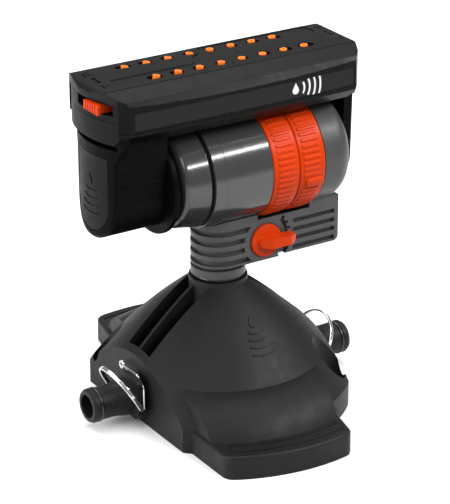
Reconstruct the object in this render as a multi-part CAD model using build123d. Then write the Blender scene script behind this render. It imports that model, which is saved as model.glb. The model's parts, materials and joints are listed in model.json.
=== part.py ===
"""Oscillating sprinkler on a two-pad sled base: one STEP file for each piece.

Millimetres, +Z up, origin on the ground under the middle of the base.
+X runs along the barrel away from the pod, and -Y is the side with the flow knob.
"""
from build123d import *
import math
import os

# ---- base: bell, pads and channels
skirt_r = 72.5            # outer radius of the bell's straight skirt
skirt_h = 13.8            # height of that skirt
bell_top = 70.3           # where the bell meets the collar
bell_bulge = 2.9          # how far the bell's side bows out from a straight cone
base_wall = 3.0
end_flat_x = 53.0         # the bell is cut flat at both ends
collar_r = 16.0
collar_top = 72.6
collar_tube_low = 36.0
pad_r = 100.0             # outer edge of both pads
pad_top = 13.1
pad_left_x = -49.4        # straight edge of the front pad
pad_right_deg = -77.3     # where the leaning edge meets the outer edge
pad_lean_deg = 12.9
pad_corner_r = 7.0
pad_edge_r = 1.6
pad_wall = 2.5
pad_groove_rs = (94.0, 87.5, 81.0)
pad_groove_w = 1.2
pad_groove_depth = 0.7
pad_groove_x = (-42.8, 20.0)
panel_r = 60.5            # where the raised panel above each pad starts on the bell
panel_rise = 1.2
panel_foot_r = 84.0
panel_hollow = 3.2        # how far the panel's side bows in
channel_w = 22.0
channel_wall = 2.5
channel_low = 26.0
fin_w = 2.0
fin_drop = 1.0
peg_x, peg_y = 46.5, 43.7 # ground peg holes, one at each of two opposite corners
peg_floor = 12.6
peg_hole_r = 2.75
peg_scoop_r = 5.9
peg_scoop_lean_deg = 13.0
peg_wall = 2.2

# ---- water way in the base
pipe_z = 13.9
pipe_bore_r = 6.5
tee_r = 10.5
tee_socket_r = 8.45
tee_socket_depth = 11.5
tee_end_gap = 0.5
riser_r = 12.0
riser_bore_r = 9.0
riser_bore_low = 36.0
riser_top_drop = 0.4
lug_x, lug_y = 25.0, 19.0
lug_r = 4.0
lug_low, lug_high = 12.0, 15.0
screw_r = 1.5
screw_head_r = 3.0
screw_head_h = 2.0
screw_grip = 9.0

# ---- hose connectors and their clips, described on the -X end
stub_tip_x = -82.5
stub_tip_r = 8.5
stub_collar_x = -81.0
stub_collar_r = 9.4
stub_groove_x = (-78.7, -76.5)
stub_groove_r = 7.55
stub_r = 9.0
stub_root_x = -68.0
inner_groove_x = (-46.0, -44.4)
shoulder_x = -60.0
shoulder_r = 10.5
spigot_x = (-50.0, -39.5)
spigot_r = 8.4
flange_x = (-60.0, -57.0)
flange_y = (-15.5, 3.0)
flange_z = (5.5, 29.0)
flange_corner_r = 4.0
ear_y = (12.5, 15.5)
ear_r = 3.0
oring_r = 1.0             # section radius of the O-ring on the stub
inner_oring_r = 0.52
inner_groove_depth = 1.2
clip_wire_r = 0.8
clip_eye_r = 1.7
bail_x, bail_z = -58.5, 12.5
bail_half_w = 16.5
bail_h = 22.0
bail_lean_deg = 30.0
bail_band_w, bail_band_t = 2.4, 1.2
bail_pin_r = 0.8

# ---- column, bracket and flow valve
column_r = 15.0
column_low = 74.5
block_low = 80.7
block_end_x = 68.0
block_top = 108.6
block_corner_r = 3.0
block_step_x = 29.5       # past the knob the block's underside steps up
block_step_h = 1.0
neck_r = 12.5
neck_low = 79.0
wrap_groove_z = (83.5, 89.2, 94.9, 100.6)
wrap_groove_h = 2.9
flat_groove_z = (84.2, 89.3, 94.4, 99.5)
flat_groove_h = 2.5
flat_groove_x = (38.2, 65.4)
groove_depth = 2.4
spigot_low = 44.0
spigot_out_r = 8.95
weather_oring_r = 0.9
swivel_oring_r = 0.68
swivel_groove_z = (49.0, 66.0)
passage_r = 6.5
cross_passage_r = 5.0
riser_x = 57.0            # passage from the bracket up into the end cap
knob_x, knob_z = 20.7, 92.3
knob_boss_r = 12.8
knob_r = 9.25
knob_gap = 0.35
knob_recess = 1.2
knob_proud = 1.6
lever_x = (-5.6, 16.6)
lever_w = 5.0
lever_proud = 6.5
lever_heel = 1.2          # height of the lever's ends over the knob's disc
lever_slope = 5.0         # length of the slope at each end
lever_clear = 0.9         # gap under the part that overhangs the bracket
valve_r = 7.5
valve_gap = 0.05
valve_back_y = 8.5
valve_groove_y = (-11.2, 7.0)
valve_oring_r = 0.58
scale_r = (12.8, 16.4)
scale_deg = (-52.0, 47.0)
scale_depth = 2.4
scale_step_deg = (8.0, 22.0, 36.0)
scale_step_w = 2.4

# ---- barrel and its rings, about the X axis at barrel_z
barrel_z = 134.5
barrel_r = 30.0
barrel_bore_r = 25.2
barrel_x = (-12.0, 15.7)
sleeve_r = 27.95
front_x = -19.5
front_wall = 3.5
seal_land = 3.0           # radial width of the output shaft's seal
cap_x = (48.9, 68.5)
cap_round = 10.0
cap_wall = 3.5
spigot_in_x = 53.0
spigot_bore_r = 24.0
ring_x = ((16.0, 32.0), (32.4, 48.5))
ring_r = 30.6
ring_rib_h = 0.7
ring_rib_w = 1.5
ring_rib_count = 60
ring_rib_inset = 2.6
ring_bore_gap = 0.05
saddle_gap = 0.4
ring_room_r = 33.0
nub_inset = 4.0
nub_half_w = 2.6
nub_h = 1.6
nub_deg = 195.0           # index nub: on the knob side, a little below the middle

# ---- gears, turbine and output shaft
module = 0.8
pressure_deg = 20.0
backlash = 0.22
big_teeth = 30
mid_teeth = 20
small_teeth = 10
axle_r = 1.5
run_gap = 0.05            # radial clearance of every running fit
glue_gap = 0.03           # radial clearance of a bonded joint
plate_r = 25.1
plate_port_deg = (165, 225, 315)
plate_port_at, plate_port_r = 19.0, 3.5
post_deg = (195, 270, 345)
post_at, post_r = 21.5, 2.0
front_plate_x = (-8.0, -6.0)
rear_plate_x = (16.0, 18.0)
output_gear_x = (-4.0, 0.0)
first_small_x = (-5.0, 1.0)
first_big_x = (3.0, 7.0)
second_small_x = (2.5, 7.5)
second_big_x = (9.0, 13.0)
drive_small_x = (8.5, 13.5)
turbine_x = (37.0, 45.0)
turbine_r = 17.0
turbine_blades = 12
hub_r = 5.0
turbine_shaft_x = (8.0, 49.3)
stator_x = (47.5, 49.5)
stator_pin_x = 56.5
flap_x = (51.0, 53.0)
flap_r = 20.0
flap_pin_r = 1.9
flap_deg = 24.0           # travel of the flap between its stops
jet_at, jet_r = 15.0, 2.2 # jet ports
shaft_r = 8.0
shaft_bore_r = 5.0
shaft_x = (-46.5, 1.0)

# ---- head
head_x = -1.45            # middle of the head along X
head_side_x = 69.0        # half length of the straight sides
head_end_x = 73.0         # half length at the end corners
head_tip_x = 79.05        # half length at the middle of the bowed ends
head_side_y = 29.5
head_end_y = 25.0
head_side_bow = 1.5
head_wall = 2.4
head_parting = 175.3
head_parting_gap = 0.3
tray_fold = 173.5
tray_low = 168.5
tray_inset = 4.0
crown_edge = 191.6
crown_slope = 195.4
crown_slope_y = 18.0
crown_top = 196.4
bevel_low = 186.0
bevel_in = 1.4
cover_roof = 2.6
lip_z = 190.2
end_recess = 2.5
end_half_w = 25.0
window_band_low = 180.0
end_panel_low = 167.9
end_panel_taper = 3.4
panel_t = 1.8
panel_seam = 0.25
window_y = (-21.5, 7.0)
window_z = (183.4, 188.8)
post_x, post_y = 58.0, 22.5   # screw posts between tray and cover
post_boss_r = 3.5
strip_x = (-67.3, 66.4)
strip_z = (175.9, 185.6)
strip_t = 1.2
strip_gap = 0.15

# ---- nozzles, carrier, cams and sliders
row_y = 10.3
row_shift = 3.4           # the two rows are staggered by twice this
nozzle_pitch = 13.2
nozzles_per_row = 8
slot_w = 4.8
slot_min = 5.6
slot_grow = 0.077         # extra slot length for each millimetre from the middle
slot_spare = 0.4          # left over in a slot at both ends of a jet's travel
nozzle_tip_r = 2.0
nozzle_body_r = 2.4
nozzle_pivot_z = 187.6
nozzle_tip_z = 196.3
nozzle_tail_z = 179.4
nozzle_tail_r = 1.3
nozzle_pin_r = 1.1
nozzle_pin_half = 4.6
pin_end_gap = 0.3
jet_bore_r = 0.6
carrier_z = (184.4, 190.6)
carrier_half_x = 61.0
carrier_half_y = 17.0
rail_w = 2.0              # rails that hold the carrier under the roof
rail_gap = 0.05
pocket_x, pocket_y = 7.4, 5.6
slide_out, slide_in = 3.5, 10.0   # slider travel either side of rest
slider_y = (-17.0, -3.0)
slider_proud = 2.0
slider_gap = 0.35
slider_grooves = 5
slider_groove_r = 0.7
neck_inset = 2.0          # the neck is narrower than the grip by this on each side
neck_drop_t = 3.0
cam_z = (180.0, 181.6)
cam_slot_gap = 0.45
cam_x = (5.5, 54.0)       # its outer end stops short of the cover posts
cam_tail_x = 66.0         # a narrow tail goes on between the posts to the slider
cam_rim = 1.0             # plate left beyond the end of a slot

# ---- pod, collar and far arm
pod_x = (-80.0, -43.1)    # before the bowed end is cut
pod_end_inset = 2.8       # the pod's end face follows the head's bowed end, this far in
pod_half_w = 19.3
pod_centre_z = 130.6
pod_top_half_w = 20.6
pod_flare_z = 158.0
pod_flare_half_w = 28.4
pod_flare_depth = 12.0
pod_wall = 2.6
pod_edge = 1.6
pod_back_wall = 3.0
plaque_half_w = 15.0
plaque_top = 158.5
plaque_depth = 1.2
plaque_seam = 0.4
slot_gap_z = (164.0, 166.4)
slot_gap_half_w = 21.0
slot_gap_depth = 3.0
grip_rib_z = (127.7, 135.2, 142.8, 150.4)
grip_rib_x = (-68.0, -49.0)
grip_rib_r = 0.8
disc_x = (-43.1, -39.9)
disc_r = 28.0
collar_x = (-36.5, -21.6)
collar_small_r, collar_big_r = 26.6, 29.0
collar_neck_r = 22.0
arm_x = (69.0, 75.6)
arm_half_w = 16.0
arm_pin_r = 5.0
arm_pin_x = 62.3


# ---------------------------------------------------------------- shared shapes
def span_box(x_range, y_range, z_range):
    sizes = [abs(b - a) for a, b in (x_range, y_range, z_range)]
    middle = [(a + b) / 2 for a, b in (x_range, y_range, z_range)]
    return Pos(*middle) * Box(*sizes)


def rod_x(radius, x_range, y=0.0, z=0.0):
    a, b = x_range
    return Pos((a + b) / 2, y, z) * Rot(0, 90, 0) * Cylinder(radius, abs(b - a))


def rod_y(radius, y_range, x=0.0, z=0.0):
    a, b = y_range
    return Pos(x, (a + b) / 2, z) * Rot(90, 0, 0) * Cylinder(radius, abs(b - a))


def rod_z(radius, z_range, x=0.0, y=0.0):
    a, b = z_range
    return Pos(x, y, (a + b) / 2) * Cylinder(radius, abs(b - a))


def barrel_rod(radius, x_range):
    """A rod on the barrel's axis."""
    return rod_x(radius, x_range, 0, barrel_z)


def turned_x(points, y=0.0, z=0.0):
    """Revolve a closed (x, radius) outline about an axis along X."""
    face = make_face(Polyline(*points, close=True))
    return Pos(0, y, z) * revolve(face, Axis.X, 360)


def o_ring_x(major, minor, x, y=0.0, z=0.0):
    return Pos(x, y, z) * Rot(0, 90, 0) * Torus(major, minor)


def half_turn(shape, centre_x=0.0):
    """The same piece at the opposite end, turned about a vertical axis."""
    return Pos(centre_x, 0, 0) * Rot(0, 0, 180) * Pos(-centre_x, 0, 0) * shape


def bowed(start, end, bulge):
    """An arc that stands off the straight line by bulge, to the right of start-to-end."""
    run, rise = end[0] - start[0], end[1] - start[1]
    length = math.hypot(run, rise)
    middle = ((start[0] + end[0]) / 2 + rise / length * bulge,
              (start[1] + end[1]) / 2 - run / length * bulge)
    return ThreePointArc(start, middle, end)


def group(shapes):
    """Separate solids that share one file."""
    return Compound(children=[shape.solid() for shape in shapes])


def joined(shapes):
    """Union of a list of shapes."""
    total = shapes[0]
    for shape in shapes[1:]:
        total = total + shape
    return total


# ---------------------------------------------------------------- base
def bell_z(radius):
    """Height of the bell's outside at a given radius."""
    foot, neck = (skirt_r, skirt_h), (collar_r, bell_top)
    chord = math.dist(foot, neck)
    arc_r = (chord ** 2 / 4 + bell_bulge ** 2) / (2 * bell_bulge)
    out = ((neck[1] - foot[1]) / chord, (foot[0] - neck[0]) / chord)
    centre = [(foot[i] + neck[i]) / 2 - out[i] * (arc_r - bell_bulge) for i in (0, 1)]
    return centre[1] + math.sqrt(arc_r ** 2 - (radius - centre[0]) ** 2)


def bell(inset, low):
    """Solid bell, inset by a wall, with flat ends."""
    foot = (skirt_r - inset, skirt_h - inset / 2)
    neck = (collar_r - 0.7 * inset, bell_top - 0.7 * inset)
    outline = [Line((0, low), (foot[0], low)), Line((foot[0], low), foot),
               bowed(foot, neck, bell_bulge), Line(neck, (0, neck[1])), Line((0, neck[1]), (0, low))]
    turned = revolve(Plane.XZ * make_face(outline), Axis.Z, 360)
    flat = end_flat_x - inset
    return turned & span_box((-flat, flat), (-skirt_r, skirt_r), (low, bell_top))


def pad_plan(inset, inner_y):
    """Plan of the front pad, with its inner edge at inner_y."""
    outer_r = pad_r - inset
    left = pad_left_x + inset
    corner_left = (left, -math.sqrt(outer_r ** 2 - left ** 2))
    right_angle = math.radians(pad_right_deg) - inset / outer_r
    corner_right = (outer_r * math.cos(right_angle), outer_r * math.sin(right_angle))
    lean = math.tan(math.radians(pad_lean_deg))
    inner_right = (corner_right[0] + (inner_y - corner_right[1]) * lean, inner_y)
    middle_angle = (math.atan2(corner_left[1], left) + right_angle) / 2
    middle = (outer_r * math.cos(middle_angle), outer_r * math.sin(middle_angle))
    face = make_face([Line((left, inner_y), corner_left), ThreePointArc(corner_left, middle, corner_right),
                      Line(corner_right, inner_right), Line(inner_right, (left, inner_y))])
    corners = face.vertices().sort_by(Axis.Y)[:2]
    return fillet(corners, max(pad_corner_r - inset, 1.0))


def peg_cup(wall, low):
    """Upright cone that opens upwards around a peg hole, with a wall added all round."""
    lean = math.tan(math.radians(peg_scoop_lean_deg))
    depth = bell_top - low
    foot_r = peg_scoop_r + wall + (low - peg_floor) * lean
    return Pos(0, 0, low + depth / 2) * Cone(foot_r, foot_r + depth * lean, depth)


def pad_grooves():
    grooves = []
    x_low, x_high = pad_groove_x
    for radius in pad_groove_rs:
        band = rod_z(radius + pad_groove_w / 2, (pad_top - pad_groove_depth, pad_top + 1))
        band = band - rod_z(radius - pad_groove_w / 2, (pad_top - pad_groove_depth - 1, pad_top + 2))
        grooves.append(band & span_box((x_low, x_high), (-pad_r, 0), (0, pad_top + 1)))
    return joined(grooves)


def front_pad():
    """One pad with the raised panel that joins it to the bell."""
    slab = extrude(pad_plan(0, -panel_r / 2), pad_top)
    slab = fillet(slab.faces().sort_by(Axis.Z)[-1].edges(), pad_edge_r)
    start, end = (panel_r, bell_z(panel_r) + panel_rise), (panel_foot_r, pad_top)
    inner = (panel_r - 2 * panel_rise, bell_z(panel_r - 2 * panel_rise) - panel_rise)
    section = [Line(inner, start), bowed(start, end, -panel_hollow), Line(end, (panel_foot_r, pad_top - pad_edge_r)),
               Line((panel_foot_r, pad_top - pad_edge_r), (inner[0], pad_top - pad_edge_r)),
               Line((inner[0], pad_top - pad_edge_r), inner)]
    panel = revolve(Plane.XZ * make_face(section), Axis.Z, 360)
    panel = panel & extrude(pad_plan(pad_edge_r, -panel_r / 2), bell_top)
    return slab + panel - pad_grooves()


def base_shell():
    outer = bell(0, 0)
    pad = front_pad()
    body = outer + pad + half_turn(pad)
    pad_room = extrude(pad_plan(pad_wall, -panel_r / 2), pad_top - pad_wall) - rod_z(skirt_r, (-1, bell_top))
    pad_room = pad_room + Pos(0, 0, -1) * extrude(pad_plan(pad_wall, -skirt_r - 1), 2)
    body = body - bell(base_wall, -base_wall) - pad_room - half_turn(pad_room)

    wall_y = channel_w / 2
    inside = []
    for side in (-1, 1):
        x_span = (side * (collar_r - 4), side * (end_flat_x - base_wall / 2))
        inside.append(span_box(x_span, (wall_y, wall_y + channel_wall), (channel_low, bell_top)))
        inside.append(span_box(x_span, (-wall_y - channel_wall, -wall_y), (channel_low, bell_top)))
        inside.append(Pos(side * peg_x, -side * peg_y) * peg_cup(peg_wall, 0))
        inside += [rod_z(lug_r, (lug_high, bell_top), side * lug_x, y) for y in (-lug_y, lug_y)]
    body = body + (joined(inside) & outer)
    body = body + rod_z(collar_r, (collar_tube_low, collar_top))

    for side in (-1, 1):
        channel = span_box((0, side * (end_flat_x - base_wall)), (-wall_y, wall_y), (channel_low, collar_top + 1))
        body = body - (channel - rod_z(collar_r, (0, collar_top + 2)))
        fin = span_box((side * (collar_r - 4), side * (end_flat_x - base_wall / 2)), (-fin_w / 2, fin_w / 2),
                       (channel_low, bell_top))
        body = body + (fin & Pos(0, 0, -fin_drop) * outer)
        peg = (side * peg_x, -side * peg_y)
        body = body - Pos(*peg) * peg_cup(0, peg_floor)
        body = body - rod_z(peg_hole_r, (-1, bell_top), *peg)
        port = (side * (end_flat_x - 2 * base_wall), side * (end_flat_x + 1))
        body = body - rod_x(shoulder_r + 0.3, port, 0, pipe_z)
        body = body - joined([rod_z(screw_r, (0, lug_high + screw_grip), side * lug_x, y) for y in (-lug_y, lug_y)])
    return body - rod_z(riser_r + 0.25, (collar_tube_low - 1, collar_top + 1))


def supply_tee():
    half = end_flat_x - base_wall - tee_end_gap
    tee = rod_x(tee_r, (-half, half), 0, pipe_z) + rod_z(riser_r, (pipe_z, collar_top - riser_top_drop))
    for x in (-lug_x, lug_x):
        tee = tee + span_box((x - lug_r, x + lug_r), (-lug_y, lug_y), (lug_low, lug_high))
        tee = tee + joined([rod_z(lug_r, (lug_low, lug_high), x, y) for y in (-lug_y, lug_y)])
    tee = tee - rod_x(pipe_bore_r, (-half - 1, half + 1), 0, pipe_z)
    tee = tee - rod_z(pipe_bore_r, (pipe_z, collar_top)) - rod_z(riser_bore_r, (riser_bore_low, collar_top))
    for side in (-1, 1):
        tee = tee - rod_x(tee_socket_r, (side * (half - tee_socket_depth), side * (half + 1)), 0, pipe_z)
        tee = tee - joined([rod_z(screw_r, (0, lug_high + 1), side * lug_x, y) for y in (-lug_y, lug_y)])
    snap = rod_z(riser_bore_r + 1.0, circlip_span(0.15))
    return tee - snap


def screws_up(places, low, length):
    """Screws that enter from below; low is the face under each head."""
    bodies = []
    for x, y in places:
        bodies.append(rod_z(screw_r, (low - screw_head_h, low + length), x, y)
                      + rod_z(screw_head_r, (low - screw_head_h, low), x, y))
    return group(bodies)


def tee_screws():
    places = [(x, y) for x in (-lug_x, lug_x) for y in (-lug_y, lug_y)]
    return screws_up(places, lug_low, lug_high - lug_low + screw_grip - 1)


def connector():
    """Hose connector of the -X end."""
    outline = [(stub_tip_x, pipe_bore_r), (stub_tip_x, stub_tip_r), (stub_collar_x, stub_collar_r),
               (stub_groove_x[0], stub_collar_r), (stub_groove_x[0], stub_groove_r),
               (stub_groove_x[1], stub_groove_r), (stub_groove_x[1], stub_r), (stub_root_x, stub_r),
               (shoulder_x, shoulder_r), (spigot_x[0], shoulder_r), (spigot_x[0], spigot_r),
               (inner_groove_x[0], spigot_r), (inner_groove_x[0], spigot_r - inner_groove_depth),
               (inner_groove_x[1], spigot_r - inner_groove_depth), (inner_groove_x[1], spigot_r),
               (spigot_x[1], spigot_r), (spigot_x[1], pipe_bore_r)]
    body = turned_x(outline, 0, pipe_z)
    plate_yz = (flange_y[1] - flange_y[0], flange_z[1] - flange_z[0])
    plate = Plane.YZ * RectangleRounded(plate_yz[0], plate_yz[1], flange_corner_r)
    plate = extrude(plate, flange_x[1] - flange_x[0])
    plate = Pos(flange_x[0], sum(flange_y) / 2, sum(flange_z) / 2) * plate
    ears = span_box(flange_x, (-ear_y[1], ear_y[1]), (bail_z - ear_r, bail_z + ear_r))
    body = body + plate + ears - rod_x(pipe_bore_r, (flange_x[0] - 1, flange_x[1] + 1), 0, pipe_z)
    pins = []
    for side in (-1, 1):
        pins.append(rod_y(bail_pin_r + run_gap, (side * ear_y[0], side * (ear_y[1] + 1)), bail_x, bail_z))
    return body - joined(pins)


def connector_o_rings():
    """One ring on each stub and one on each spigot."""
    outer = o_ring_x(stub_groove_r + oring_r + 0.05, oring_r, sum(stub_groove_x) / 2, 0, pipe_z)
    inner = o_ring_x(spigot_r - inner_oring_r - 0.05, inner_oring_r, sum(inner_groove_x) / 2, 0, pipe_z)
    return group([outer, inner, half_turn(outer), half_turn(inner)])


def clip_wires():
    """Spring wires that hold the connectors in the base, each seated behind its flange plate."""
    x = flange_x[1] + clip_wire_r + 0.05
    top, low = flange_z[1] - 0.2, bail_z - 0.5
    near, far = flange_y[0] + 0.5, flange_y[1] + 3.0
    path = FilletPolyline((x, far, top), (x, near + 6.5, top), (x, near, top - 5.0), (x, near, low), radius=2.0)
    section = Plane(origin=path @ 0, z_dir=path % 0) * Circle(clip_wire_r)
    eye = o_ring_x(clip_eye_r, clip_wire_r, x, far + clip_eye_r, top)
    wire = sweep(section, path) + eye
    return group([wire, half_turn(wire)])


def bail():
    """Wire bail over the -X connector, leaning outwards."""
    rise = bail_h - bail_half_w
    path = [Line((-bail_half_w, 0), (-bail_half_w, rise)),
            ThreePointArc((-bail_half_w, rise), (0, bail_h), (bail_half_w, rise)),
            Line((bail_half_w, rise), (bail_half_w, 0))]
    wire = Plane.YZ * Wire(path)
    section = Plane(origin=wire @ 0, z_dir=wire % 0, x_dir=(1, 0, 0))
    arch = sweep(section * RectangleRounded(bail_band_w, bail_band_t, bail_band_t / 2 - 0.05), wire)
    for side in (-1, 1):
        arch = arch + rod_y(bail_band_w / 2, (side * (bail_half_w - 0.6), side * (bail_half_w + 0.6)))
        arch = arch + rod_y(bail_pin_r, (side * (ear_y[0] + 0.4), side * bail_half_w))
    return Pos(bail_x, 0, bail_z) * Rot(0, -bail_lean_deg, 0) * arch


# ---------------------------------------------------------------- column, bracket and flow valve
def circlip_span(gap):
    """Height range of the ring that holds the column in the riser, widened by gap."""
    middle = (riser_bore_low + column_low) / 2
    return (middle - 0.8 - gap, middle + 0.8 + gap)


def swivel_circlip():
    low, high = circlip_span(0)
    ring = rod_z(riser_bore_r + 0.7, (low, high)) - rod_z(spigot_out_r - 0.95, (low - 1, high + 1))
    gap = span_box((0, riser_bore_r + 2), (-2, 2), (low - 1, high + 1))
    return ring - gap


def arm_seals():
    """Weather ring under the column, two seals on its spigot and the lip seal of the output shaft."""
    weather = Pos(0, 0, column_low - weather_oring_r - 0.05) * Torus(column_r - 1.6, weather_oring_r)
    rings = [Pos(0, 0, z) * Torus(spigot_out_r - swivel_oring_r - 0.04, swivel_oring_r) for z in swivel_groove_z]
    x_span = (front_x + front_wall + 0.1, front_x + front_wall + 2.4)
    lip = barrel_rod(shaft_r + seal_land - glue_gap, x_span)
    lip = lip - barrel_rod(shaft_r + run_gap, (x_span[0] - 1, x_span[1] + 1))
    return group([weather] + rings + [lip])


def stadium(inset, z_range, end_x):
    """Rounded-end plan of the column and block."""
    half = column_r - inset
    return rod_z(half, z_range) + span_box((0, end_x), (-half, half), z_range)


def bracket_grooves():
    cutters = []
    keep_out = rod_y(knob_boss_r + 0.6, (-column_r - 1, column_r + 1), knob_x, knob_z)
    for z in wrap_groove_z:
        levels = (z - wrap_groove_h / 2, z + wrap_groove_h / 2)
        ring = stadium(-1, levels, knob_x) - stadium(groove_depth, (levels[0] - 1, levels[1] + 1), knob_x + 1)
        cutters.append(ring & span_box((-column_r - 1, knob_x - 6), (-column_r - 1, column_r + 1), levels))
    for z in flat_groove_z:
        for side in (-1, 1):
            levels = (z - flat_groove_h / 2, z + flat_groove_h / 2)
            y_span = (side * (column_r - groove_depth), side * (column_r + 1))
            cutters.append(span_box(flat_groove_x, y_span, levels))
    return joined(cutters) - keep_out


def knob_scale():
    """Stepped arc slot beside the knob."""
    depth = (-column_r - 1, -column_r + scale_depth)
    band = rod_y(scale_r[1], depth) - rod_y(scale_r[0], (depth[0] - 1, depth[1] + 1))
    low, far = scale_deg[0], 2 * scale_r[1]
    turns = [math.radians(low + (scale_deg[1] - low) * index / 8) for index in range(9)]
    fan = make_face(Polyline((0, 0), *[(far * math.cos(a), far * math.sin(a)) for a in turns], close=True))
    slot = band & extrude(Plane.XZ * fan, 2 * column_r, both=True)
    for index, angle in enumerate(scale_step_deg):
        x_span = (scale_r[0] + 1.0 + 0.6 * index, scale_r[1] + 1)
        step = span_box(x_span, (-column_r - 1, -column_r + scale_depth + 1), (-scale_step_w / 2, scale_step_w / 2))
        slot = slot - Rot(0, -angle, 0) * Pos(0, 0.5, 0) * step
    return Pos(knob_x, 0, knob_z) * slot


def end_cap_outline(inset, start_x):
    """Half section of the cap: a straight side, a large rounded edge and a flat end."""
    side_r, end = barrel_r - inset, cap_x[1] - inset
    round_r = cap_round - inset
    return make_face([Line((start_x, 0), (start_x, side_r)), Line((start_x, side_r), (end - round_r, side_r)),
                      RadiusArc((end - round_r, side_r), (end, side_r - round_r), round_r),
                      Line((end, side_r - round_r), (end, 0)), Line((end, 0), (start_x, 0))])


def column_bracket():
    cap = Pos(0, 0, barrel_z) * revolve(end_cap_outline(0, cap_x[0]), Axis.X, 360)
    room = Pos(0, 0, barrel_z) * revolve(end_cap_outline(cap_wall, cap_x[0] - 1), Axis.X, 360)
    block = stadium(0, (block_low, block_top), block_end_x)
    block = block - span_box((block_step_x, block_end_x + 1), (-column_r - 1, column_r + 1),
                             (block_low - 1, block_low + block_step_h))
    end_edges = block.edges().filter_by(Axis.Y).group_by(Axis.X)[-1].sort_by(Axis.Z)[:1]
    block = fillet(end_edges, block_corner_r)
    body = block + rod_z(column_r, (column_low, neck_low)) + rod_z(neck_r, (neck_low - 1, block_low + 1))
    body = body - bracket_grooves() - knob_scale()
    body = body - barrel_rod(barrel_r + saddle_gap, (-column_r - 1, cap_x[0]))
    body = body - barrel_rod(ring_room_r, (ring_x[0][0] - 0.5, cap_x[0]))
    body = body + cap - room
    body = body + barrel_rod(arm_pin_r + 4, (arm_pin_x - 2, cap_x[1]))
    body = body - barrel_rod(arm_pin_r + run_gap, (arm_pin_x - 0.4, cap_x[1] + 1))
    body = body + rod_z(spigot_out_r, (spigot_low, column_low + 1))
    seat_r, seat_h = column_r - 1.6 - weather_oring_r - 0.05, 2 * weather_oring_r + 0.05
    body = body + rod_z(seat_r, (column_low - seat_h, column_low + 1))
    body = body - rod_z(passage_r, (spigot_low - 1, knob_z)) - Pos(0, 0, knob_z) * Sphere(passage_r)
    body = body - rod_x(cross_passage_r, (0, riser_x), 0, knob_z)
    body = body - rod_z(cross_passage_r, (knob_z, barrel_z - barrel_r + 2 * cap_wall), riser_x, 0)
    body = body - Pos(riser_x, 0, knob_z) * Sphere(cross_passage_r)
    body = body - rod_y(valve_r + valve_gap, (-column_r - 1, valve_back_y + 0.4), knob_x, knob_z)
    body = body - rod_y(knob_r + knob_gap, (-column_r - 1, -column_r + knob_recess), knob_x, knob_z)
    low, high = circlip_span(0.1)
    body = body - (rod_z(spigot_out_r + 1, (low, high)) - rod_z(spigot_out_r - 1.0, (low - 1, high + 1)))
    for z in swivel_groove_z:
        groove = rod_z(spigot_out_r + 1, (z - swivel_oring_r - 0.2, z + swivel_oring_r + 0.2))
        body = body - (groove - rod_z(spigot_out_r - 2 * swivel_oring_r - 0.1, (z - 2, z + 2)))
    return body


def flow_knob():
    face_y = -column_r + knob_recess - 0.05
    disc = rod_y(knob_r, (-column_r - knob_proud, face_y))
    disc = fillet(disc.edges().sort_by(Axis.Y)[0], 0.6)
    low_y, crest_y = -column_r - knob_proud, -column_r - knob_proud - lever_proud
    x_span = (lever_x[0] - 1, lever_x[1] + 1)
    rounded_bar = RectangleRounded(lever_x[1] - lever_x[0], lever_w, lever_w / 2 - 0.2)
    bar = Plane.XZ * (Pos(sum(lever_x) / 2, 0, 0) * rounded_bar)
    bar = extrude(bar, -crest_y) & span_box(x_span, (crest_y, -column_r - knob_gap), (-lever_w, lever_w))
    beyond = crest_y - lever_w
    wedge = [(x_span[0], beyond), (x_span[0], low_y - lever_heel), (lever_x[0] + lever_slope, crest_y),
             (lever_x[1] - lever_slope, crest_y), (x_span[1], low_y - 2 * lever_heel), (x_span[1], beyond)]
    cutter = Pos(0, 0, -lever_w) * extrude(make_face(Polyline(*wedge, close=True)), 2 * lever_w)
    under = span_box((knob_r + knob_gap, x_span[1]), (-column_r - lever_clear, 0), (-lever_w, lever_w))
    return Pos(knob_x, 0, knob_z) * (disc + (bar - cutter - under))


def valve_plug():
    plug = rod_y(valve_r, (-column_r + knob_recess - 0.05, valve_back_y))
    plug = plug - rod_x(cross_passage_r, (-valve_r, valve_r))
    for y in valve_groove_y:
        groove = rod_y(valve_r + 1, (y - valve_oring_r - 0.2, y + valve_oring_r + 0.2))
        plug = plug - (groove - rod_y(valve_r - 2 * valve_oring_r - 0.09, (y - 2, y + 2)))
    return Pos(knob_x, 0, knob_z) * plug


def valve_seals():
    ring = Rot(90, 0, 0) * Torus(valve_r - valve_oring_r - 0.02, valve_oring_r)
    return group([Pos(knob_x, y, knob_z) * ring for y in valve_groove_y])


# ---------------------------------------------------------------- barrel
def barrel_body():
    outer = [(barrel_x[0], barrel_bore_r), (barrel_x[0], barrel_r), (barrel_x[1], barrel_r), (barrel_x[1], sleeve_r),
             (cap_x[0] - 0.05, sleeve_r), (cap_x[0] - 0.05, barrel_r - cap_wall - 0.05),
             (spigot_in_x, barrel_r - cap_wall - 0.05), (spigot_in_x, spigot_bore_r),
             (stator_x[0] - 1.5, spigot_bore_r), (stator_x[0] - 2.5, barrel_bore_r)]
    return turned_x(outer, 0, barrel_z)


def barrel_front_ring():
    """Front cover of the barrel, with the bearing of the output shaft and the seat of its seal."""
    body = barrel_rod(barrel_r, (front_x, barrel_x[0] - 0.1))
    body = body + barrel_rod(barrel_bore_r - 0.05, (front_x, front_plate_x[0] - 0.2))
    body = body - barrel_rod(barrel_bore_r - 2, (front_x + front_wall, 0))
    body = body + barrel_rod(shaft_r + seal_land + 2, (front_x, front_x + front_wall + 2.5))
    body = body - barrel_rod(shaft_r + run_gap, (front_x - 1, 0))
    return body - barrel_rod(shaft_r + seal_land, (front_x + front_wall, 0))


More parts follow.
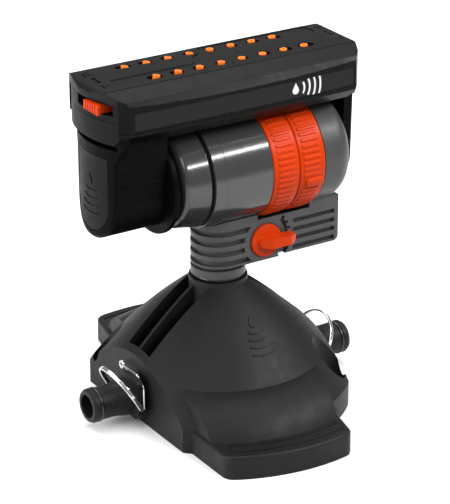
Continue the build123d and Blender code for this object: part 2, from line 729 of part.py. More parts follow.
def range_ring(index):
    """Grip ring with raised ribs; the second one carries an index nub."""
    low, high = ring_x[index]
    body = barrel_rod(ring_r, (low, high))
    body = fillet(body.edges().filter_by(GeomType.CIRCLE), 0.5)
    ribs = []
    for count in range(ring_rib_count):
        angle = 360.0 * count / ring_rib_count
        if index == 1 and abs((angle - nub_deg + 180) % 360 - 180) < 360.0 / ring_rib_count:
            continue
        rib = span_box((low + ring_rib_inset, high - ring_rib_inset), (ring_r - 1, ring_r + ring_rib_h),
                       (-ring_rib_w / 2, ring_rib_w / 2))
        ribs.append(Pos(0, 0, barrel_z) * Rot(angle, 0, 0) * rib)
    body = body + joined(ribs)
    if index == 1:
        nub_x = (low + nub_inset, high - nub_inset / 2)
        nub = span_box(nub_x, (ring_r - 1, ring_r + nub_h), (-nub_half_w, nub_half_w))
        nub = fillet(nub.edges().filter_by(Axis.Y), nub_half_w - 0.2)
        body = body + Pos(0, 0, barrel_z) * Rot(nub_deg, 0, 0) * nub
    return body - barrel_rod(sleeve_r + ring_bore_gap, (low - 1, high + 1))


# ---------------------------------------------------------------- gears, turbine and shaft
def involute(angle):
    return math.tan(angle) - angle


def tooth_outline(teeth, tooth_deg):
    """Closed outline of a spur gear in the YZ plane, with one tooth centred at tooth_deg."""
    pitch_r = module * teeth / 2
    base_r = pitch_r * math.cos(math.radians(pressure_deg))
    tip_r, root_r = pitch_r + 0.8 * module, pitch_r - 1.1 * module
    half_pitch = math.pi / (2 * teeth) - backlash / (2 * pitch_r)
    flank = []
    for step in range(4):
        radius = max(base_r, root_r) + (tip_r - max(base_r, root_r)) * step / 3
        lean = involute(math.radians(pressure_deg)) - involute(math.acos(min(1.0, base_r / radius)))
        flank.append((radius, half_pitch + lean))
    flank.insert(0, (root_r, flank[0][1]))
    points = []
    for index in range(teeth):
        centre = math.radians(tooth_deg) + 2 * math.pi * index / teeth
        whole = [(r, centre - a) for r, a in flank] + [(r, centre + a) for r, a in reversed(flank)]
        points += [(r * math.cos(a), r * math.sin(a)) for r, a in whole]
    return Plane.YZ * make_face(Polyline(*points, close=True))


def gear(teeth, x_range, tooth_deg, y=0.0, z=0.0):
    blank = extrude(tooth_outline(teeth, tooth_deg), x_range[1] - x_range[0])
    return Pos(x_range[0], y, z) * blank


first_arm = module * (big_teeth + small_teeth) / 2       # output gear to first axle
second_arm = module * (mid_teeth + small_teeth) / 2      # first axle to second, and second to the middle
first_deg = 90.0
second_deg = first_deg - math.degrees(math.acos(first_arm / (2 * second_arm)))
axle_1 = (0.0, first_arm)
axle_2 = (second_arm * math.cos(math.radians(second_deg)), second_arm * math.sin(math.radians(second_deg)))


def polar(radius, angle):
    return radius * math.cos(math.radians(angle)), radius * math.sin(math.radians(angle))


def direction(start, end):
    return math.degrees(math.atan2(end[1] - start[1], end[0] - start[0]))


def compound_gear(place, small_x, big_x, small_tooth_deg, big_tooth_deg):
    y, z = place[0], barrel_z + place[1]
    low, high = min(small_x[0], big_x[0]), max(small_x[1], big_x[1])
    body = gear(small_teeth, small_x, small_tooth_deg, y, z) + gear(mid_teeth, big_x, big_tooth_deg, y, z)
    body = body + rod_x(small_teeth * module / 2 - 1.1 * module - 0.1, (low, high), y, z)
    return body - rod_x(axle_r + run_gap, (low - 1, high + 1), y, z)


def first_compound_gear():
    small_deg = direction(axle_1, (0, 0)) + 180.0 / small_teeth
    return compound_gear(axle_1, first_small_x, first_big_x, small_deg, direction(axle_1, axle_2))


def second_compound_gear():
    small_deg = direction(axle_2, axle_1) + 180.0 / small_teeth
    return compound_gear(axle_2, second_small_x, second_big_x, small_deg, direction(axle_2, (0, 0)))


def output_gear():
    body = gear(big_teeth, output_gear_x, direction((0, 0), axle_1), 0, barrel_z)
    return body - barrel_rod(shaft_r + glue_gap, (output_gear_x[0] - 1, output_gear_x[1] + 1))


def output_shaft():
    shaft = barrel_rod(shaft_r, shaft_x) + barrel_rod(shaft_r + 1.4, (output_gear_x[1] + 0.02, shaft_x[1]))
    return shaft - barrel_rod(shaft_bore_r, (shaft_x[0] - 1, shaft_x[1] + 1))


def turbine_wheel():
    hub = barrel_rod(hub_r, turbine_x) + barrel_rod(turbine_r - 2, (turbine_x[1] - 1.5, turbine_x[1]))
    for count in range(turbine_blades):
        blade = span_box((turbine_x[0], turbine_x[1] - 0.4), (hub_r - 1, turbine_r), (-0.7, 0.7))
        hub = hub + Pos(0, 0, barrel_z) * Rot(360.0 * count / turbine_blades, 0, 0) * blade
    return hub - barrel_rod(axle_r, (turbine_x[0] - 1, turbine_x[1] + 1))


def turbine_shaft():
    """Shaft of the turbine with the drive pinion cut on it."""
    tooth_deg = direction((0, 0), axle_2) + 180.0 / small_teeth
    return barrel_rod(axle_r, turbine_shaft_x) + gear(small_teeth, drive_small_x, tooth_deg, 0, barrel_z)


def gear_axles():
    """The first axle spans both plates; the second ends before it reaches the output gear."""
    first = rod_x(axle_r, (front_plate_x[0], rear_plate_x[1]), axle_1[0], barrel_z + axle_1[1])
    second = rod_x(axle_r, (second_small_x[0] - 1, rear_plate_x[1]), axle_2[0], barrel_z + axle_2[1])
    return group([first, second])


def gearbox_plate(x_range, middle_r, axles):
    through = (x_range[0] - 1, x_range[1] + 1)
    plate = barrel_rod(plate_r, x_range) - barrel_rod(middle_r, through)
    for y, z in axles:
        plate = plate - rod_x(axle_r + 0.02, through, y, barrel_z + z)
    for angle in plate_port_deg:
        y, z = polar(plate_port_at, angle)
        plate = plate - rod_x(plate_port_r, through, y, barrel_z + z)
    return plate


def gearbox_front_plate():
    return gearbox_plate(front_plate_x, shaft_r + 0.3, [axle_1])


def gearbox_rear_plate():
    """Rear plate with the three posts that hold the front plate off it."""
    plate = gearbox_plate(rear_plate_x, axle_r + run_gap, [axle_1, axle_2])
    for angle in post_deg:
        y, z = polar(post_at, angle)
        plate = plate + rod_x(post_r, (front_plate_x[1], rear_plate_x[0] + 1), y, barrel_z + z)
    return plate


def jet_ports(x_range, radius, first_deg_of_ports):
    """Three ports on the jet circle."""
    port = rod_x(radius, (x_range[0] - 1, x_range[1] + 1), jet_at, 0)
    return joined([Pos(0, 0, barrel_z) * Rot(120.0 * count + first_deg_of_ports, 0, 0) * port for count in range(3)])


def stator_plate():
    """Jet plate in front of the turbine, with the pin that the flap turns on."""
    plate = barrel_rod(spigot_bore_r - 0.05, stator_x) + barrel_rod(2.5, (stator_x[0], stator_x[1] + 1.2))
    plate = plate + barrel_rod(flap_pin_r, (stator_x[1], stator_pin_x))
    plate = plate - barrel_rod(axle_r + run_gap, (stator_x[0] - 1, stator_x[1] + 0.2))
    return plate - jet_ports(stator_x, jet_r, 90.0)


def reversing_flap():
    """Turns between two stops, so that the jets drive the turbine either way."""
    flap = barrel_rod(flap_r, flap_x) + barrel_rod(4, (flap_x[0], flap_x[1] + 2))
    flap = flap - barrel_rod(flap_pin_r + run_gap, (flap_x[0] - 1, flap_x[1] + 3))
    return flap - jet_ports(flap_x, jet_r + 0.4, 90.0 + flap_deg / 2)


# ---------------------------------------------------------------- head shell
def head_outline(inset):
    """Plan of the head: bowed sides and ends with bevelled corners."""
    side_x, side_y = head_side_x - 0.6 * inset, head_side_y - inset
    end_x, end_y = head_end_x - inset, head_end_y - 0.6 * inset
    tip_x, bow_y = head_tip_x - inset, side_y + head_side_bow
    edges = []
    for turn in (1, -1):
        corner = [(turn * -end_x, turn * -end_y), (turn * -side_x, turn * -side_y),
                  (turn * side_x, turn * -side_y), (turn * end_x, turn * -end_y)]
        edges.append(Line(corner[0], corner[1]))
        edges.append(ThreePointArc(corner[1], (0, turn * -bow_y), corner[2]))
        edges.append(Line(corner[2], corner[3]))
        edges.append(ThreePointArc(corner[3], (turn * tip_x, 0), (turn * end_x, turn * end_y)))
    return Pos(head_x, 0, 0) * make_face(edges)


def head_block(inset, low, high):
    return Pos(0, 0, low) * extrude(head_outline(inset), high - low)


def crown(drop):
    """Prism whose top is the head's crowned roof, lowered by drop."""
    y_out, top = head_side_y + head_side_bow + 1, -drop
    slope = (crown_slope_y, crown_slope + top)
    bevel = (head_side_y - bevel_in, crown_edge + top)
    outline = [Line((-y_out, 100), (-y_out, bevel_low + top)), Line((-y_out, bevel_low + top), (-bevel[0], bevel[1])),
               Line((-bevel[0], bevel[1]), (-slope[0], slope[1])),
               ThreePointArc((-slope[0], slope[1]), (0, crown_top + top), slope),
               Line(slope, bevel), Line(bevel, (y_out, bevel_low + top)),
               Line((y_out, bevel_low + top), (y_out, 100)), Line((y_out, 100), (-y_out, 100))]
    return Pos(head_x - 100, 0, 0) * extrude(Plane.YZ * make_face(outline), 200)


def end_prism():
    """Prism that rounds the roof's edge at both ends."""
    outer, top = head_tip_x + 0.01, crown_top + 1
    edge_low, edge_in = lip_z + 2.4, 5.0
    outline = [Line((-outer, 100), (-outer, edge_low)),
               bowed((-outer, edge_low), (-outer + edge_in, crown_top - 0.9), -0.9),
               Line((-outer + edge_in, crown_top - 0.9), (-outer + edge_in + 14, top)),
               Line((-outer + edge_in + 14, top), (outer - edge_in - 14, top)),
               Line((outer - edge_in - 14, top), (outer - edge_in, crown_top - 0.9)),
               bowed((outer - edge_in, crown_top - 0.9), (outer, edge_low), -0.9),
               Line((outer, edge_low), (outer, 100)), Line((outer, 100), (-outer, 100))]
    prism = extrude(Plane.XZ * make_face(outline), 60, both=True)
    return Pos(head_x, 0, 0) * prism


def end_band(outer_inset, inner_inset, half_w, low, high):
    """Curved band that follows both bowed ends."""
    band = head_block(outer_inset, low, high) - head_block(inner_inset, low - 1, high + 1)
    ends = [span_box((side * 60 + head_x, side * 90 + head_x), (-half_w, half_w), (low, high)) for side in (-1, 1)]
    return band & joined(ends)


def one_end(shape, side):
    """Keep the -X (side -1) or +X (side 1) part of a shape."""
    return shape & span_box((head_x, head_x + side * 100), (-60, 60), (60, 260))


def strip_solid(gap):
    band = head_block(-1, strip_z[0] + gap, strip_z[1] - gap) - head_block(strip_t, 150, 210)
    return band & span_box((strip_x[0] + gap, strip_x[1] - gap), (-60, 60), (150, 210))


def nozzle_places():
    """(x, y, slot length, swing per millimetre of slider travel, sign of the half) for each nozzle."""
    places = []
    for row in (-1, 1):
        for index in range(nozzles_per_row):
            offset = -row * row_shift + (index - (nozzles_per_row - 1) / 2) * nozzle_pitch
            length = slot_min + slot_grow * abs(offset)
            half = -1 if offset < 0 else 1
            travel = length - 2 * nozzle_tip_r - slot_spare
            swing = travel / (slide_out + slide_in) / (nozzle_tip_z - nozzle_pivot_z)
            places.append((head_x + offset, row * row_y, length, swing, half))
    return places


def head_cover():
    outer = head_block(0, head_parting, crown_top + 1) & crown(0) & end_prism()
    room = (head_block(head_wall, head_parting - 1, crown_top + 1) & crown(cover_roof))
    inner_prism = Pos(0, 0, -cover_roof) * end_prism()
    body = outer - (room & inner_prism)
    body = body - strip_solid(0)
    body = body - end_band(-1, end_recess, end_half_w, head_parting - 1, lip_z)
    for x, y, length, swing, half in nozzle_places():
        body = body - Pos(x, y, crown_top - 4) * extrude(SlotOverall(length, slot_w), 8)
    for side in (-1, 1):
        body = body - slider_window(side)
    posts = [rod_z(post_boss_r, (head_parting, crown_top - cover_roof), *place) for place in cover_posts()]
    body = body + (joined(posts) & (crown(cover_roof - 0.5)))
    return body - joined([rod_z(screw_r, (head_parting - 1, head_parting + 7), *place) for place in cover_posts()])


def slider_window(side):
    reach = (head_x - 66, head_x - 90)
    window = span_box(reach, window_y, window_z)
    return window if side < 0 else half_turn(window, head_x)


def cover_posts():
    return [(head_x + sx * post_x, sy * post_y) for sx in (-1, 1) for sy in (-1, 1)]


def head_tray():
    top = head_parting - head_parting_gap
    upper = head_block(0, tray_fold, top)
    lower = loft([Pos(0, 0, tray_low) * head_outline(tray_inset), Pos(0, 0, tray_fold) * head_outline(0)])
    body = upper + lower - head_block(tray_inset + head_wall, tray_low + head_wall, top + 1)
    body = body - end_band(-1, end_recess, end_half_w, tray_low - 1, top + 1)
    posts = [rod_z(post_boss_r, (tray_low + 1, head_parting), *place) for place in cover_posts()]
    body = body + joined(posts)
    for place in cover_posts():
        body = body - rod_z(screw_r, (tray_low - 1, head_parting + 1), *place)
        body = body - rod_z(screw_head_r + 0.2, (tray_low - 1, tray_low + screw_head_h), *place)
    pod_port = span_box((pod_x[0] + 8, pod_x[1] - 6), (-12, 12), (tray_low - 1, tray_low + head_wall + 1))
    return body - pod_port


def tray_fill():
    """The tray's outside as one closed block, to trim what meets it."""
    return loft([Pos(0, 0, tray_low) * head_outline(tray_inset), Pos(0, 0, tray_fold) * head_outline(0)]) \
        + head_block(0, tray_fold, head_parting + 5)


def cover_screws():
    return screws_up(cover_posts(), tray_low + screw_head_h, head_parting - tray_low - screw_head_h + 6)


def window_panels():
    """Upper end panels, each with the window of its slider."""
    band = end_band(end_recess - panel_t, end_recess, end_half_w - panel_seam, window_band_low, lip_z - 0.05)
    return group([one_end(band, side) - slider_window(side) for side in (-1, 1)])


def panel_room():
    """Room that the pod and the far arm leave for the end panels."""
    return end_band(-1, end_recess + panel_seam, end_half_w + panel_seam, end_panel_low - panel_seam, head_parting)


def end_panels():
    """Lower end panels, narrowing at the bottom."""
    levels = (end_panel_low, window_band_low - panel_seam)
    band = end_band(end_recess - panel_t, end_recess, end_half_w - panel_seam, *levels)
    wide, narrow = end_half_w, end_half_w - end_panel_taper
    trim = [(-narrow, end_panel_low), (narrow, end_panel_low), (wide, end_panel_low + end_panel_taper),
            (wide, window_band_low), (-wide, window_band_low), (-wide, end_panel_low + end_panel_taper)]
    band = band & extrude(Plane.YZ * make_face(Polyline(*trim, close=True)), 100, both=True)
    return group([one_end(band, -1), one_end(band, 1)])


def side_strips():
    strip = strip_solid(strip_gap) & head_block(0.25, 150, 210)
    return group([strip & span_box((-100, 100), (0, side * 60), (150, 210)) for side in (-1, 1)])


# ---------------------------------------------------------------- pod, collar and far arm
def tongue(half_w, top_half_w, top, x_range):
    """Plate with a half-round lower end and sides that spread slightly upwards."""
    outline = [Line((-top_half_w, top), (-half_w, pod_centre_z)),
               ThreePointArc((-half_w, pod_centre_z), (0, pod_centre_z - half_w), (half_w, pod_centre_z)),
               Line((half_w, pod_centre_z), (top_half_w, top)), Line((top_half_w, top), (-top_half_w, top))]
    return Pos(x_range[0], 0, 0) * extrude(Plane.YZ * make_face(outline), x_range[1] - x_range[0])


def bowed_layer(inset, depth):
    """Layer of the given depth under a bowed end face."""
    return head_block(inset, 60, 260) - head_block(inset + depth, 59, 261)


def plaque_solid(gap, depth):
    half, top = plaque_half_w - gap, plaque_top - gap
    prism = tongue(half, half, top, pod_x) & span_box((pod_x[0], pod_x[0] + pod_flare_depth), (-60, 60), (60, 260))
    return prism & bowed_layer(pod_end_inset - 1 + gap / 2, 1 - gap / 2 + depth)


def grip_ribs():
    """Four thin ribs on each side of the pod."""
    ribs = []
    for z in grip_rib_z:
        spread = (z - pod_centre_z) / (tray_low - pod_centre_z) * (pod_top_half_w - pod_half_w)
        y = pod_half_w + spread
        if z < pod_centre_z:
            y = math.sqrt(pod_half_w ** 2 - (z - pod_centre_z) ** 2)
        ribs += [rod_x(grip_rib_r, grip_rib_x, side * y, z) for side in (-1, 1)]
    return joined(ribs)


def pod_housing():
    shell = tongue(pod_half_w, pod_top_half_w, tray_low, pod_x) & head_block(pod_end_inset, 60, 260)
    shell = chamfer(shell.faces().sort_by(Axis.X)[0].edges(), pod_edge)
    flare = [(-pod_top_half_w + 0.6, pod_flare_z), (pod_top_half_w - 0.6, pod_flare_z),
             (pod_flare_half_w, tray_fold), (-pod_flare_half_w, tray_fold)]
    shoulder = Pos(pod_x[0], 0, 0) * extrude(Plane.YZ * make_face(Polyline(*flare, close=True)), pod_flare_depth)
    shell = shell + (shoulder & head_block(pod_end_inset, 60, 260))
    end_face_x = head_x - head_tip_x + pod_end_inset
    room_x = (pod_x[0], pod_x[1] - pod_back_wall)
    room = tongue(pod_half_w - pod_wall, pod_top_half_w - pod_wall, tray_low + 1, room_x)
    room = room & head_block(pod_end_inset + plaque_depth + pod_wall, 60, 260)
    shell = shell - room - plaque_solid(0, plaque_depth)
    shell = shell - span_box((end_face_x - 1, end_face_x + slot_gap_depth + 4),
                             (-slot_gap_half_w, slot_gap_half_w), slot_gap_z)
    shell = shell + grip_ribs() - tray_fill() - panel_room()
    return shell - barrel_rod(shaft_r + glue_gap, (pod_x[1] - pod_back_wall - 1, pod_x[1] + 1))


def pod_plaque():
    return plaque_solid(plaque_seam, plaque_depth - 0.02) & head_block(pod_end_inset + 0.1, 60, 260)


def pod_disc():
    body = barrel_rod(disc_r, disc_x)
    body = fillet(body.edges().filter_by(GeomType.CIRCLE), 0.8)
    body = body + barrel_rod(collar_neck_r, (disc_x[1] - 1, collar_x[0]))
    return body - barrel_rod(shaft_r + glue_gap, (disc_x[0] - 1, collar_x[0] + 1))


def head_collar():
    small_end = (collar_x[0], collar_small_r - 3.5)
    outline = [Line((collar_x[0], 0), small_end), bowed(small_end, (collar_x[0] + 3.5, collar_small_r + 0.5), -1.0),
               Line((collar_x[0] + 3.5, collar_small_r + 0.5), (collar_x[1], collar_big_r)),
               Line((collar_x[1], collar_big_r), (collar_x[1], 0)), Line((collar_x[1], 0), (collar_x[0], 0))]
    body = Pos(0, 0, barrel_z) * revolve(make_face(outline), Axis.X, 360)
    room = barrel_rod(collar_small_r - 3, (collar_x[0] + 3, collar_x[1] - 3)) - barrel_rod(shaft_r + 4, (-60, 0))
    return body - room - barrel_rod(shaft_r + glue_gap, (collar_x[0] - 1, collar_x[1] + 1))


def pivot_arm():
    body = tongue(arm_half_w, arm_half_w + 1, tray_low, arm_x)
    end_face = body.faces().sort_by(Axis.X)[-1]
    body = chamfer(end_face.edges(), pod_edge)
    body = body - tray_fill() - panel_room()
    return body + barrel_rod(arm_pin_r, (arm_pin_x, arm_x[0] + 1))


# ---------------------------------------------------------------- nozzles, carrier, cams and sliders
def nozzle_carrier():
    low, high = carrier_z
    x_span = (head_x - carrier_half_x, head_x + carrier_half_x)
    body = span_box(x_span, (-carrier_half_y, carrier_half_y), (low, high))
    for x, y, length, swing, half in nozzle_places():
        pocket = Pos(x, y, low - 1) * extrude(Rectangle(pocket_x, pocket_y), high - low + 2)
        reach = nozzle_pin_half + pin_end_gap
        body = body - pocket - rod_y(nozzle_pin_r + run_gap, (y - reach, y + reach), x, nozzle_pivot_z)
    rails = [span_box(x_span, (side * (carrier_half_y - rail_w), side * carrier_half_y), (high - 1, crown_top))
             for side in (-1, 1)]
    return body + (joined(rails) & crown(cover_roof + rail_gap))


def nozzle(x, y, length, swing, half):
    """Jet nozzle on its cross pin, tilted towards the middle as the slider's rest place asks."""
    top, pivot = nozzle_tip_z - nozzle_pivot_z, nozzle_pivot_z
    body = rod_z(nozzle_body_r, (-3.0, 3.4)) + Pos(0, 0, 4.9) * Cone(nozzle_body_r, nozzle_tip_r, 3.0)
    body = body + rod_z(nozzle_tip_r, (6.3, top)) + rod_z(nozzle_tail_r, (nozzle_tail_z - pivot, -2))
    body = body + rod_y(nozzle_pin_r, (-nozzle_pin_half, nozzle_pin_half))
    body = body - rod_z(jet_bore_r, (-2, top + 1)) - rod_y(jet_bore_r - 0.1, (-nozzle_body_r - 1, 0), 0, -1.8)
    tilt = -half * math.degrees(swing) * (slide_in - slide_out) / 2
    return Pos(x, y, pivot) * Rot(0, tilt, 0) * body


def spread_slider(side):
    """Thumb slider on the end of the head, its neck through the window and its cam plate."""
    x_out = head_x - head_tip_x + end_recess - panel_t
    z_span = (window_z[0] + slider_gap, window_z[1] - slider_gap)
    neck_y = (slider_y[0] + neck_inset, slider_y[1] - neck_inset)
    root_x = head_x - cam_tail_x
    grip = span_box((x_out - slider_proud, x_out - 0.3), slider_y, z_span)
    for count in range(slider_grooves):
        y = slider_y[0] + (slider_y[1] - slider_y[0]) * (count + 1) / (slider_grooves + 1)
        grip = grip - rod_z(slider_groove_r, window_z, x_out - slider_proud - 0.1, y)
    neck = span_box((x_out - 0.4, root_x + neck_drop_t), neck_y, z_span)
    drop = span_box((root_x, root_x + neck_drop_t), neck_y, (cam_z[0], z_span[1]))
    tail = span_box((root_x, head_x - cam_x[1] + 1), neck_y, cam_z)
    body = grip + neck + drop + tail
    return (body if side < 0 else half_turn(body, head_x)) + cam_plate(side)


def cam_plate(side):
    """Plate under the nozzles; its slanted slots swing their tails as it slides."""
    slot_r = nozzle_tail_r + cam_slot_gap
    far_y, near_y = row_y + slide_in + slot_r + cam_rim, row_y + slide_out + slot_r + cam_rim
    x_span = (head_x + side * cam_x[0], head_x + side * cam_x[1])
    plate = span_box(x_span, (side * far_y, -side * near_y), cam_z)
    lever = nozzle_pivot_z - sum(cam_z) / 2
    for x, y, length, swing, half in nozzle_places():
        if half != side:
            continue
        rest_tilt = -half * swing * (slide_in - slide_out) / 2
        ends = []
        for travel in (-slide_out, slide_in):
            tilt = rest_tilt + half * swing * travel
            ends.append((x - lever * math.tan(tilt), y - (-side) * travel))
        (x0, y0), (x1, y1) = ends
        middle, length_on = ((x0 + x1) / 2, (y0 + y1) / 2), math.hypot(x1 - x0, y1 - y0)
        slot = Rot(0, 0, direction(ends[0], ends[1])) * SlotOverall(length_on + 2 * slot_r, 2 * slot_r)
        plate = plate - Pos(middle[0], middle[1], cam_z[0] - 1) * extrude(slot, 4)
    return plate


# ---------------------------------------------------------------- write every piece
def build():
    pieces = {
        "base_shell": base_shell(),
        "supply_tee": supply_tee(),
        "tee_screws": tee_screws(),
        "inlet_connector": connector(),
        "outlet_connector": half_turn(connector()),
        "connector_o_rings": connector_o_rings(),
        "clip_wires": clip_wires(),
        "inlet_bail": bail(),
        "outlet_bail": half_turn(bail()),
        "column_bracket": column_bracket(),
        "swivel_circlip": swivel_circlip(),
        "arm_seals": arm_seals(),
        "flow_knob": flow_knob(),
        "valve_plug": valve_plug(),
        "valve_seals": valve_seals(),
        "barrel_body": barrel_body(),
        "barrel_front_ring": barrel_front_ring(),
        "range_ring_left": range_ring(0),
        "range_ring_right": range_ring(1),
        "gearbox_front_plate": gearbox_front_plate(),
        "gearbox_rear_plate": gearbox_rear_plate(),
        "gear_axles": gear_axles(),
        "first_compound_gear": first_compound_gear(),
        "second_compound_gear": second_compound_gear(),
        "turbine_shaft": turbine_shaft(),
        "turbine_wheel": turbine_wheel(),
        "stator_plate": stator_plate(),
        "reversing_flap": reversing_flap(),
        "output_shaft": output_shaft(),
        "output_gear": output_gear(),
        "head_collar": head_collar(),
        "pod_disc": pod_disc(),
        "pod_housing": pod_housing(),
        "pod_plaque": pod_plaque(),
        "pivot_arm": pivot_arm(),
        "head_tray": head_tray(),
        "head_cover": head_cover(),
        "cover_screws": cover_screws(),
        "side_strips": side_strips(),
        "window_panels": window_panels(),
        "end_panels": end_panels(),
        "nozzle_carrier": nozzle_carrier(),
        "spread_slider_left": spread_slider(-1),
        "spread_slider_right": spread_slider(1),
    }
    for number, place in enumerate(nozzle_places(), start=1):
        pieces["nozzle_%02d" % number] = nozzle(*place)
    return pieces


def main():
    os.makedirs("parts", exist_ok=True)
    for name, shape in build().items():
        export_step(shape, "parts/" + name + ".step")


main()
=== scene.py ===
"""Looks of an oscillating sprinkler, built around its fixed frame."""

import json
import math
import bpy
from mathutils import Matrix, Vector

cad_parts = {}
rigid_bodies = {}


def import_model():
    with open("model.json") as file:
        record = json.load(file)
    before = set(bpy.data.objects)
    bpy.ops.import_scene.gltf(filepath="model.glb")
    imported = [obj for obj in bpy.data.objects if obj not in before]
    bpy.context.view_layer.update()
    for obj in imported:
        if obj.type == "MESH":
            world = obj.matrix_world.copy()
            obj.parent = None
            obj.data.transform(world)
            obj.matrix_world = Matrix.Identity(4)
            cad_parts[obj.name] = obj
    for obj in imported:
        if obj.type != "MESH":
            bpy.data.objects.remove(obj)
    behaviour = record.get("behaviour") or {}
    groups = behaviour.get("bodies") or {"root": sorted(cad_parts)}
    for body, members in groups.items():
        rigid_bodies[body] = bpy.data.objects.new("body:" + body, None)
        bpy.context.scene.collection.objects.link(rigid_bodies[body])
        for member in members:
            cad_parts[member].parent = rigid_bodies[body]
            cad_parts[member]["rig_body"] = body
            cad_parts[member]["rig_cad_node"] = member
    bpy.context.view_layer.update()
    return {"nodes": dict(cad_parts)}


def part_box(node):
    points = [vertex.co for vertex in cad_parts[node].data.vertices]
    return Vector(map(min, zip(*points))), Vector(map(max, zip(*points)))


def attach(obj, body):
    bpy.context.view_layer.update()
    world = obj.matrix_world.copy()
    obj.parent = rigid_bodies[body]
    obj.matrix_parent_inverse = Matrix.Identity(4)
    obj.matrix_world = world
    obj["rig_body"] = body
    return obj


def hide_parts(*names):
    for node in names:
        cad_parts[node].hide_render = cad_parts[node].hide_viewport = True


bl_info = {
    "name": "Oscillating Sprinkler Looks",
    "version": (1, 0, 0),
    "blender": (4, 5, 0),
    "location": "View3D > Sidebar > Sprinkler",
    "description": "Finishes each piece of an oscillating sprinkler and sets its stage",
    "category": "Object",
}

import bpy
from bpy.props import FloatProperty, FloatVectorProperty, IntProperty, PointerProperty
from mathutils import Matrix, Vector

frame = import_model()
NODES = frame["nodes"]
MM = 0.001


# ------------------------------------------------------------------ settings
def colour(name, text, default):
    return FloatVectorProperty(name=name, description=text, default=default, subtype="COLOR",
                               min=0.0, max=1.0)


def length(name, text, default):
    return FloatProperty(name=name, description=text, default=default, min=0.0, unit="LENGTH",
                         subtype="DISTANCE", precision=5)


def angle(name, text, degrees):
    return FloatProperty(name=name, description=text, default=math.radians(degrees), unit="ROTATION",
                         subtype="ANGLE")


class SprinklerColours(bpy.types.PropertyGroup):
    base: colour("Base", "Charcoal moulding of the base", (0.0072, 0.0072, 0.0075))
    bracket: colour("Bracket", "Grey moulding of the column and bracket", (0.050, 0.050, 0.052))
    barrel: colour("Barrel", "Polished grey of the barrel", (0.043, 0.043, 0.045))
    orange: colour("Orange", "Rings, knob and sliders", (0.60, 0.042, 0.0010))
    nozzle: colour("Nozzle", "Soft rubber of the jets", (0.92, 0.17, 0.006))
    head: colour("Head", "Matt top of the head", (0.0046, 0.0046, 0.0048))
    band: colour("Band", "Gloss band round the head", (0.0016, 0.0016, 0.0017))
    strip: colour("Strip", "Inlaid strip along the head", (0.0080, 0.0080, 0.0083))
    mark: colour("Mark", "Printed marks", (0.86, 0.86, 0.86))
    gear: colour("Gear", "Natural acetal of the gears", (0.62, 0.60, 0.53))
    floor: colour("Floor", "Pale floor and backdrop", (0.92, 0.92, 0.92))


class SprinklerSizes(bpy.types.PropertyGroup):
    grain: length("Grain", "Size of the moulded grain", 0.00035)
    rib_count: IntProperty(name="Ribs", description="Ribs round each range ring", default=60, min=8, max=96)
    rib_width: length("Rib width", "Width of one rib of a range ring", 0.0018)
    rib_height: length("Rib height", "How far a rib stands out of its ring", 0.0007)
    channel_depth: length("Channel depth", "Depth of the winding channel in the roof", 0.0005)
    channel_width: length("Channel width", "Width of each arm of the channel", 0.0128)
    channel_inner: length("Channel inner edge", "From the middle line to an arm's inner edge", 0.0046)
    groove_width: length("Groove width", "Width of the two long grooves in the roof", 0.0006)
    edge_round: length("Edge rounding", "Radius that softens moulded edges", 0.0004)


class SprinklerCamera(bpy.types.PropertyGroup):
    azimuth: angle("Azimuth", "Camera angle about the vertical", -32.33)
    elevation: angle("Elevation", "Camera angle above the horizon", 23.57)
    distance: length("Distance", "From the camera to the point it looks at", 1.27893)
    target: FloatVectorProperty(name="Target", description="Point the camera looks at",
                                default=(0.0, -0.00709, 0.08712), unit="LENGTH",
                                subtype="TRANSLATION", precision=5)
    lens: FloatProperty(name="Lens", description="Focal length in millimetres", default=170.66, min=10.0)


def colours():
    return bpy.context.scene.sprinkler_colours


def sizes():
    return bpy.context.scene.sprinkler_sizes


# ------------------------------------------------------------------ materials
def node(tree, kind, **settings):
    made = tree.nodes.new(kind)
    for key, value in settings.items():
        setattr(made, key, value)
    return made


def blank(name):
    material = bpy.data.materials.new(name)
    material.use_nodes = True
    tree = material.node_tree
    coords = node(tree, "ShaderNodeTexCoord")
    return material, tree, tree.nodes["Principled BSDF"], coords.outputs["Object"]


def noise(tree, coords, scale, detail=3.0, stretch=(1.0, 1.0, 1.0)):
    """Noise of a given number of cells per metre, stretched along the axes."""
    mapping = node(tree, "ShaderNodeMapping")
    mapping.inputs["Scale"].default_value = stretch
    texture = node(tree, "ShaderNodeTexNoise")
    texture.inputs["Scale"].default_value = scale
    texture.inputs["Detail"].default_value = detail
    tree.links.new(coords, mapping.inputs["Vector"])
    tree.links.new(mapping.outputs["Vector"], texture.inputs["Vector"])
    return texture.outputs["Fac"]


NOISE_SPAN = (0.3, 0.7)       # most of a noise texture's values lie in here


def ranged(tree, value, low, high, to_low, to_high):
    """Value spread from one range to another."""
    mapped = node(tree, "ShaderNodeMapRange")
    for key, number in (("From Min", low), ("From Max", high), ("To Min", to_low), ("To Max", to_high)):
        mapped.inputs[key].default_value = number
    tree.links.new(value, mapped.inputs["Value"])
    return mapped.outputs["Result"]


def mixed(tree, factor, first, second):
    """Blend of two colours, each a socket or three numbers."""
    mix = node(tree, "ShaderNodeMix", data_type="RGBA")
    for socket, value in (("A", first), ("B", second)):
        target = next(s for s in mix.inputs if s.name == socket and s.type == "RGBA")
        if isinstance(value, bpy.types.NodeSocket):
            tree.links.new(value, target)
        else:
            target.default_value = (*value, 1.0)
    tree.links.new(factor, mix.inputs["Factor"])
    return next(s for s in mix.outputs if s.type == "RGBA")


def shaded(tone, factor):
    return [min(1.0, channel * factor) for channel in tone]


